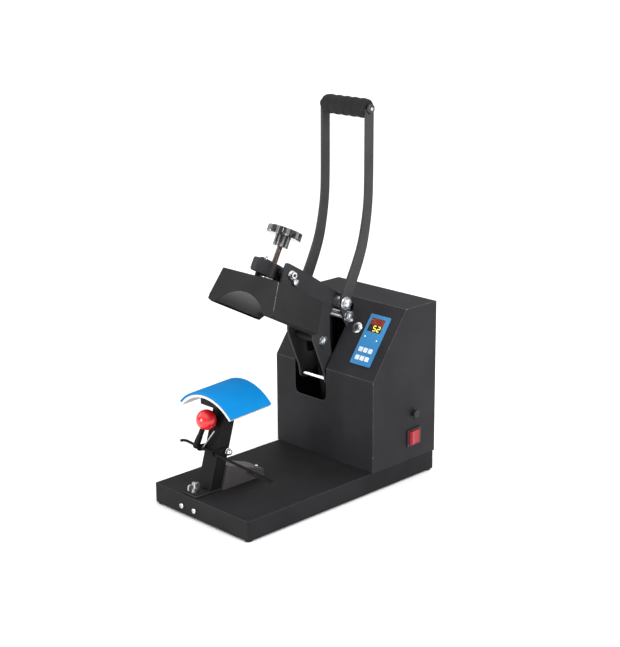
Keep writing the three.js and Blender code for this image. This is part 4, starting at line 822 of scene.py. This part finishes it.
def bent_rod(points, radius, name):
    """A round bar along a line of points, its ends closed."""
    deselect_all()
    line = bpy.data.curves.new(name, "CURVE")
    line.dimensions = "3D"
    line.bevel_depth = radius
    line.bevel_resolution = 5
    line.use_fill_caps = True
    spline = line.splines.new("POLY")
    spline.points.add(len(points) - 1)
    for knot, place in zip(spline.points, points):
        knot.co = (*place, 1)
    piece = bpy.data.objects.new(name, line)
    bpy.context.collection.objects.link(piece)
    select_only(piece)
    bpy.ops.object.convert(target="MESH")
    piece = bpy.context.object
    bpy.ops.object.mode_set(mode="EDIT")
    bpy.ops.mesh.select_all(action="SELECT")
    bpy.ops.mesh.remove_doubles(threshold=0.000005)
    bpy.ops.mesh.normals_make_consistent(inside=False)
    bpy.ops.object.mode_set(mode="OBJECT")
    return piece


route = []
for step in range(HOOK_STEPS + 1):
    turn = math.radians(90 * step / HOOK_STEPS)
    route.append(rod_point(ROD_LEFT + HOOK_RADIUS * (1 - math.cos(turn)),
                           ROD_Y - HOOK_RADIUS * (1 - math.sin(turn))))
route.append(rod_point(ROD_RIGHT - BEND_RADIUS, ROD_Y))
for step in range(1, BEND_STEPS + 1):
    turn = math.pi * step / BEND_STEPS
    route.append(rod_point(ROD_RIGHT - BEND_RADIUS + BEND_RADIUS * math.sin(turn),
                           ROD_Y - BEND_RADIUS + BEND_RADIUS * math.cos(turn)))
route.append(rod_point(ROD_RIGHT - RETURN_LENGTH, ROD_Y - 2 * BEND_RADIUS))
rod = bent_rod(route, ROD_RADIUS, "clamp_rod")

cheeks = []
for side in (-1, 1):
    ends = []
    for y, z, radius in ((*CLAMP_PIVOT[1:], CHEEK_PIVOT_RADIUS), (ROD_Y, ROD_Z, CHEEK_ROD_RADIUS)):
        end = turned(chamfered(radius, -CHEEK_HALF, CHEEK_HALF, WASHER_EASE), 32)
        bake_place(end, Matrix.Translation((PRESS_X + side * CHEEK_X, y, z)) @ ACROSS)
        ends.append(end)
    cheek = join_pieces(ends, "clamp_cheek")
    bpy.ops.object.mode_set(mode="EDIT")
    bpy.ops.mesh.select_all(action="SELECT")
    bpy.ops.mesh.convex_hull()
    bpy.ops.mesh.normals_make_consistent(inside=False)
    bpy.ops.object.mode_set(mode="OBJECT")
    cheeks.append(cheek)

stem_line = BALL - STEM_FOOT
reach = stem_line.length
stem = turned([(0.0038, -0.0035), (0.0052, -0.002), (0.0054, 0.010), (0.0050, 0.018), (0.0044, 0.021),
               (0.0044, reach - 0.0155), (0.0051, reach - 0.015), (0.0051, reach - 0.012)], 36)
bake_place(stem, Matrix.Translation(STEM_FOOT) @ along(stem_line))
yoke = join_pieces([rod, *cheeks, stem], "hold_down_yoke")
hand_over(yoke, "hold_down_yoke_finish", "hold_down", DARK_ROD, 40, ["hold_down_yoke"])

stations = [(0.0056, -0.0161), (0.0062, -0.0159)]
for step in range(1, BALL_STEPS + 1):
    polar = math.radians(BALL_FROM - (BALL_FROM - BALL_TO) * step / BALL_STEPS)
    stations.append((BALL_RADIUS * math.sin(polar), BALL_RADIUS * math.cos(polar)))
ball = turned(stations, 48)
bake_place(ball, Matrix.Translation(BALL) @ along(stem_line))
hand_over(ball, "red_ball", "hold_down", RED, 60, ["hold_down_ball"])

stay_foot = rod_point(STAY_FOOT_X, ROD_Y)
stay_line = STAY_TOP - stay_foot
reach = stay_line.length
stay = turned([(0.0009, 0), (0.0012, 0.0006), (0.0012, reach - 0.001), (0.0007, reach)], 24)
bake_place(stay, Matrix.Translation(stay_foot) @ along(stay_line))
hand_over(stay, "clamp_stay", "hold_down", DULL_ZINC)

bolt = turned(chamfered(0.003, -CLAMP_SEAT, CLAMP_SEAT), 28)
low_nut = hex_nut(across_flats=0.0112, height=0.0055, stud_radius=0.003, stud_height=0.0005)
bake_place(low_nut, TURNED_OVER @ Matrix.Translation((0, 0, CLAMP_SEAT)))
cap = dome_nut()
bake_place(cap, Matrix.Translation((0, 0, CLAMP_SEAT)) @ Matrix.Diagonal((0.59, 0.59, 0.81, 1)))
bolt = join_pieces([bolt, low_nut, cap], "hold_down_bolt")
bake_place(bolt, across(CLAMP_PIVOT))
hand_over(bolt, "hold_down_bolt_finish", "machine", CHROME, replaces=["hold_down_bolt"])


# Stops on the slope, screws in the base and in the stand's channel

STOPS_UP_SLOPE = 0.0825
BASE_SCREW_SEAT_Y = -0.21715
CHANNEL_SCREW_SEAT = Vector((-0.024, -0.078, 0.0528))

for name in ("panel_stop_left", "panel_stop_right"):
    place = SLOPE_PLACE @ Matrix.Translation((middle_of(name).x - SLOPE_ORIGIN.x, STOPS_UP_SLOPE, 0))
    stop = turned([(0.0097, 0.0003), (0.01, 0.0006), (0.01, 0.0017), (0.0094, 0.0026), (0.0078, 0.0034),
                   (0.0052, 0.0039), (0.0042, 0.004)])
    bake_place(stop, place)
    hand_over(stop, name + "_finish", "machine", ZINC, replaces=[name])
    # The dark insert in the stop's head is painted shade for its socket.
    hollow = socket_recess(across_flats=0.0062, height=0.0038)
    bake_place(hollow, place)
    hand_over(hollow, name + "_socket", "machine", SOCKET_DARK)

for name in ("base_screw_1", "base_screw_2"):
    seat = middle_of(name)
    seat.y = BASE_SCREW_SEAT_Y
    place = Matrix.Translation(seat) @ Matrix.Rotation(math.radians(90), 4, "X")
    head = round_head(radius=0.0045, height=0.0028)
    shank = turned(chamfered(0.002, -0.007, 0.0004), 20)
    head = join_pieces([head, shank], name)
    bake_place(head, place)
    hand_over(head, name + "_finish", "machine", ZINC, replaces=[name])
    # Dark bars on the screw head: painted shade for its cross recess.
    bars = []
    for turn in (0, 90):
        deselect_all()
        bpy.ops.mesh.primitive_cube_add(size=1, location=(0, 0, 0.0027))
        bar = bpy.context.object
        bpy.ops.object.mode_set(mode="EDIT")
        bpy.ops.transform.resize(value=(0.0042, 0.0009, 0.0004))
        bpy.ops.object.mode_set(mode="OBJECT")
        ease_edges(bar, 0.00012, 1)
        bake_place(bar, Matrix.Rotation(math.radians(turn), 4, "Z"))
        bars.append(bar)
    cross = join_pieces(bars, name + "_cross")
    bake_place(cross, place)
    hand_over(cross, name + "_cross", "machine", SOCKET_DARK)

head = round_head(radius=0.003, height=0.0022)
shank = turned(chamfered(0.0014, -0.004, 0.0004), 20)
channel_screw = join_pieces([head, shank], "channel_screw")
bake_place(channel_screw, Matrix.Translation(CHANNEL_SCREW_SEAT))
hand_over(channel_screw, "channel_screw", "machine", ZINC)


# Display, lamps and lit figures

PANEL_THICKNESS = 0.0025
TOP_OF_PANEL = SLOPE_PLACE @ Matrix.Translation((0, 0, PANEL_THICKNESS))


def tile(low, high, foot, top, ease):
    """A thin tile on the panel between two corners, with eased edges."""
    deselect_all()
    middle = ((low[0] + high[0]) / 2, (low[1] + high[1]) / 2, (foot + top) / 2)
    bpy.ops.mesh.primitive_cube_add(size=1, location=middle)
    piece = bpy.context.object
    bpy.ops.object.mode_set(mode="EDIT")
    bpy.ops.transform.resize(value=(high[0] - low[0], high[1] - low[1], top - foot))
    bpy.ops.object.mode_set(mode="OBJECT")
    ease_edges(piece, ease, 1)
    return piece


shade = tile((0.0574, 0.0824), (0.0861, 0.0946), foot=0.00002, top=0.00016, ease=0.00004)
bake_place(shade, TOP_OF_PANEL)
hand_over(shade, "display_lower_window", "machine", DISPLAY_DARK)

BARS = {"a": (0, 2, True), "b": (1, 1, False), "c": (1, 0, False), "d": (0, 0, True), "e": (0, 0, False),
        "f": (0, 1, False), "g": (0, 1, True)}
FIGURES = {"5": "afgcd", "2": "abged"}
WIDE, TALL, THICK = 0.0054, 0.0044, 0.0015
FIGURES_LEFT, FIGURES_FOOT = 0.0688, 0.0841
FIGURE_STEP = 0.0090
lit = []
for count, figure in enumerate("52"):
    left = FIGURES_LEFT + count * FIGURE_STEP
    for bar in FIGURES[figure]:
        column, row, flat = BARS[bar]
        x = left + (WIDE / 2 if flat else column * WIDE)
        s = FIGURES_FOOT + row * TALL + (0 if flat else TALL / 2)
        half_x = (WIDE - THICK * 0.3) / 2 if flat else THICK / 2
        half_s = THICK / 2 if flat else (TALL - THICK * 0.3) / 2
        lit.append(tile((x - half_x, s - half_s), (x + half_x, s + half_s), foot=0.00017, top=0.0004,
                        ease=0.00008))
digits = join_pieces(lit, "display_digits")
bake_place(digits, TOP_OF_PANEL)
hand_over(digits, "display_digits", "machine", DIGIT)

LAMP_PLACES = ((0.059, 0.0717), (0.087, 0.0687))
lamps = []
for x, s in LAMP_PLACES:
    lamp = turned([(0.0013, 0), (0.0013, 0.0004), (0.001, 0.0007), (0.0005, 0.0009)], 24)
    bake_place(lamp, Matrix.Translation((x, s, 0)))
    lamps.append(lamp)
lamps = join_pieces(lamps, "panel_lamps")
bake_place(lamps, TOP_OF_PANEL)
hand_over(lamps, "panel_lamps", "machine", LED)


# Soft pieces: the silicone pad, the rubber grip and the wool inside the head

# The pad lies under the closed head, so its place is the head's, swung about the arm's pivot.
ON_ARM_PIVOT = Matrix.Translation(ARM_PIVOT)
PAD_PLACE = ON_ARM_PIVOT @ Matrix.Rotation(CLOSING, 4, "X") @ ON_ARM_PIVOT.inverted() @ HEAD_PLACE
PAD_OUTER = 0.0865
PAD_THICKNESS = 0.0038
PAD_CREST = 0.03015
PAD_HALF_ANGLE = math.radians(47.6)


def curved_slab(inner, outer, half_angle, centre, front, back, steps):
    """A slab with a curved section: its end face spun about the arch's axis."""
    deselect_all()
    bpy.ops.mesh.primitive_plane_add(size=1, location=(0, 0, 0))
    piece = bpy.context.object
    for vertex in piece.data.vertices:
        radius = outer if vertex.co.x > 0 else inner
        depth = back if vertex.co.y > 0 else front
        vertex.co = (-radius * math.sin(half_angle), depth, centre + radius * math.cos(half_angle))
    bpy.ops.object.mode_set(mode="EDIT")
    bpy.ops.mesh.select_all(action="SELECT")
    bpy.ops.mesh.spin(steps=steps, angle=-2 * half_angle, center=(0, 0, centre), axis=(0, 1, 0))
    bpy.ops.mesh.select_all(action="SELECT")
    bpy.ops.mesh.remove_doubles(threshold=0.000005)
    bpy.ops.mesh.normals_make_consistent(inside=False)
    bpy.ops.object.mode_set(mode="OBJECT")
    return piece


pad = curved_slab(inner=PAD_OUTER - PAD_THICKNESS, outer=PAD_OUTER, half_angle=PAD_HALF_ANGLE,
                  centre=-PAD_CREST - PAD_OUTER, front=0.0134, back=0.1004, steps=64)
ease_edges(pad, 0.0013, 4, 50)
bake_place(pad, PAD_PLACE)
hand_over(pad, "silicone_pad", "machine", BLUE_PAD, 60, ["blue_pad"])

GRIP_RADIUS = 0.0153
GRIP_WAVE = 0.0011
GRIP_WAVES = 5
GRIP_SAMPLES = 70
GRIP_END = 0.0025
GRIP_ENDING = ((0.0125, 0), (0.0139, 0.0006), (0.0149, 0.0016))
stations = [(radius, -BAR_STOP + inward) for radius, inward in GRIP_ENDING]
for sample in range(GRIP_SAMPLES + 1):
    share = sample / GRIP_SAMPLES
    wave = 0.5 - 0.5 * math.cos(2 * math.pi * GRIP_WAVES * share)
    stations.append((GRIP_RADIUS + GRIP_WAVE * wave ** 0.7,
                     -BAR_STOP + GRIP_END + (BAR_STOP - GRIP_END) * 2 * share))
stations += [(radius, BAR_STOP - inward) for radius, inward in reversed(GRIP_ENDING)]
grip = turned(stations, 56)
bake_place(grip, across(middle_of("handle_grip")))
hand_over(grip, "rubber_grip", "handle", RUBBER, 50, ["handle_grip"])

wool = dressed("insulation", "press_head", WOOL, 0.0008)
softer = wool.modifiers.new("even_mesh", "REMESH")
softer.mode = "VOXEL"
softer.voxel_size = 0.0025
clumps = bpy.data.textures.new("wool_clumps", "CLOUDS")
clumps.noise_scale = 0.006
pull = wool.modifiers.new("wool_clumps", "DISPLACE")
pull.texture = clumps
pull.strength = 0.0005
pull.mid_level = 1.0
apply_modifiers(wool)


# Camera, floor, sky and lights

CAMERA_PLACE = (1.7017, -1.6357, 0.9795)
CAMERA_ANGLES = (45.69, 16.33, -0.44)
SKY_STRENGTH = 1.55


def make_camera():
    """The photograph's viewpoint, fitted to the base's and the housing's corners."""
    azimuth, elevation, roll = (math.radians(angle) for angle in CAMERA_ANGLES)
    forward = Vector((-math.sin(azimuth) * math.cos(elevation), math.cos(azimuth) * math.cos(elevation),
                      -math.sin(elevation)))
    level_right = Vector((math.cos(azimuth), math.sin(azimuth), 0))
    level_up = level_right.cross(forward)
    right = math.cos(roll) * level_right + math.sin(roll) * level_up
    up = -math.sin(roll) * level_right + math.cos(roll) * level_up
    data = bpy.data.cameras.new("photo_camera")
    data.sensor_width = 36.0
    data.lens = 83.3
    data.clip_end = 80.0
    camera = bpy.data.objects.new("photo_camera", data)
    bpy.context.collection.objects.link(camera)
    turn = Matrix((right, up, -forward)).transposed().to_4x4()
    camera.matrix_world = Matrix.Translation(CAMERA_PLACE) @ turn
    bpy.context.scene.camera = camera


def area_light(name, place, target, size, power, color=(1, 1, 1)):
    data = bpy.data.lights.new(name, "AREA")
    data.shape = "RECTANGLE"
    data.size, data.size_y = size
    data.energy = power
    data.color = color
    lamp = bpy.data.objects.new(name, data)
    bpy.context.collection.objects.link(lamp)
    lamp.location = place
    lamp.rotation_euler = (Vector(target) - Vector(place)).to_track_quat("-Z", "Y").to_euler()


def make_studio():
    """A white floor under a soft sky that is brighter overhead than round the horizon."""
    bpy.ops.mesh.primitive_plane_add(size=44, location=(0, 0, -0.0002))
    floor = bpy.context.object
    floor.name = "studio_floor"
    pale = bpy.data.materials.new("pale_floor")
    pale.use_nodes = True
    shader = pale.node_tree.nodes["Principled BSDF"]
    shader.inputs["Base Color"].default_value = (0.95, 0.95, 0.95, 1)
    shader.inputs["Roughness"].default_value = 1.0
    shader.inputs["Specular IOR Level"].default_value = 0.0
    floor.data.materials.append(pale)
    world = bpy.context.scene.world or bpy.data.worlds.new("studio")
    bpy.context.scene.world = world
    world.use_nodes = True
    nodes, links = world.node_tree.nodes, world.node_tree.links
    place = nodes.new("ShaderNodeTexCoord")
    parts = nodes.new("ShaderNodeSeparateXYZ")
    sky = nodes.new("ShaderNodeValToRGB")
    sky.color_ramp.elements[0].position = 0.3
    sky.color_ramp.elements[0].color = (0.24, 0.24, 0.245, 1)
    sky.color_ramp.elements[1].position = 0.75
    sky.color_ramp.elements[1].color = (1, 1, 1, 1)
    links.new(place.outputs["Generated"], parts.inputs["Vector"])
    links.new(parts.outputs["Z"], sky.inputs["Fac"])
    links.new(sky.outputs["Color"], nodes["Background"].inputs["Color"])
    nodes["Background"].inputs["Strength"].default_value = SKY_STRENGTH
    area_light("key_right", (1.9, 0.1, 1.3), (0.05, 0.1, 0.15), (0.8, 0.8), 32, (1.0, 0.95, 0.985))
    area_light("fill_front", (-0.4, -2.6, 0.5), (0, 0, 0.2), (0.8, 0.8), 30)
    area_light("fill_left", (-1.7, -1.1, 1.1), (-0.05, -0.1, 0.05), (1.0, 1.0), 6)
    bpy.context.scene.view_settings.view_transform = "Standard"


make_camera()
make_studio()
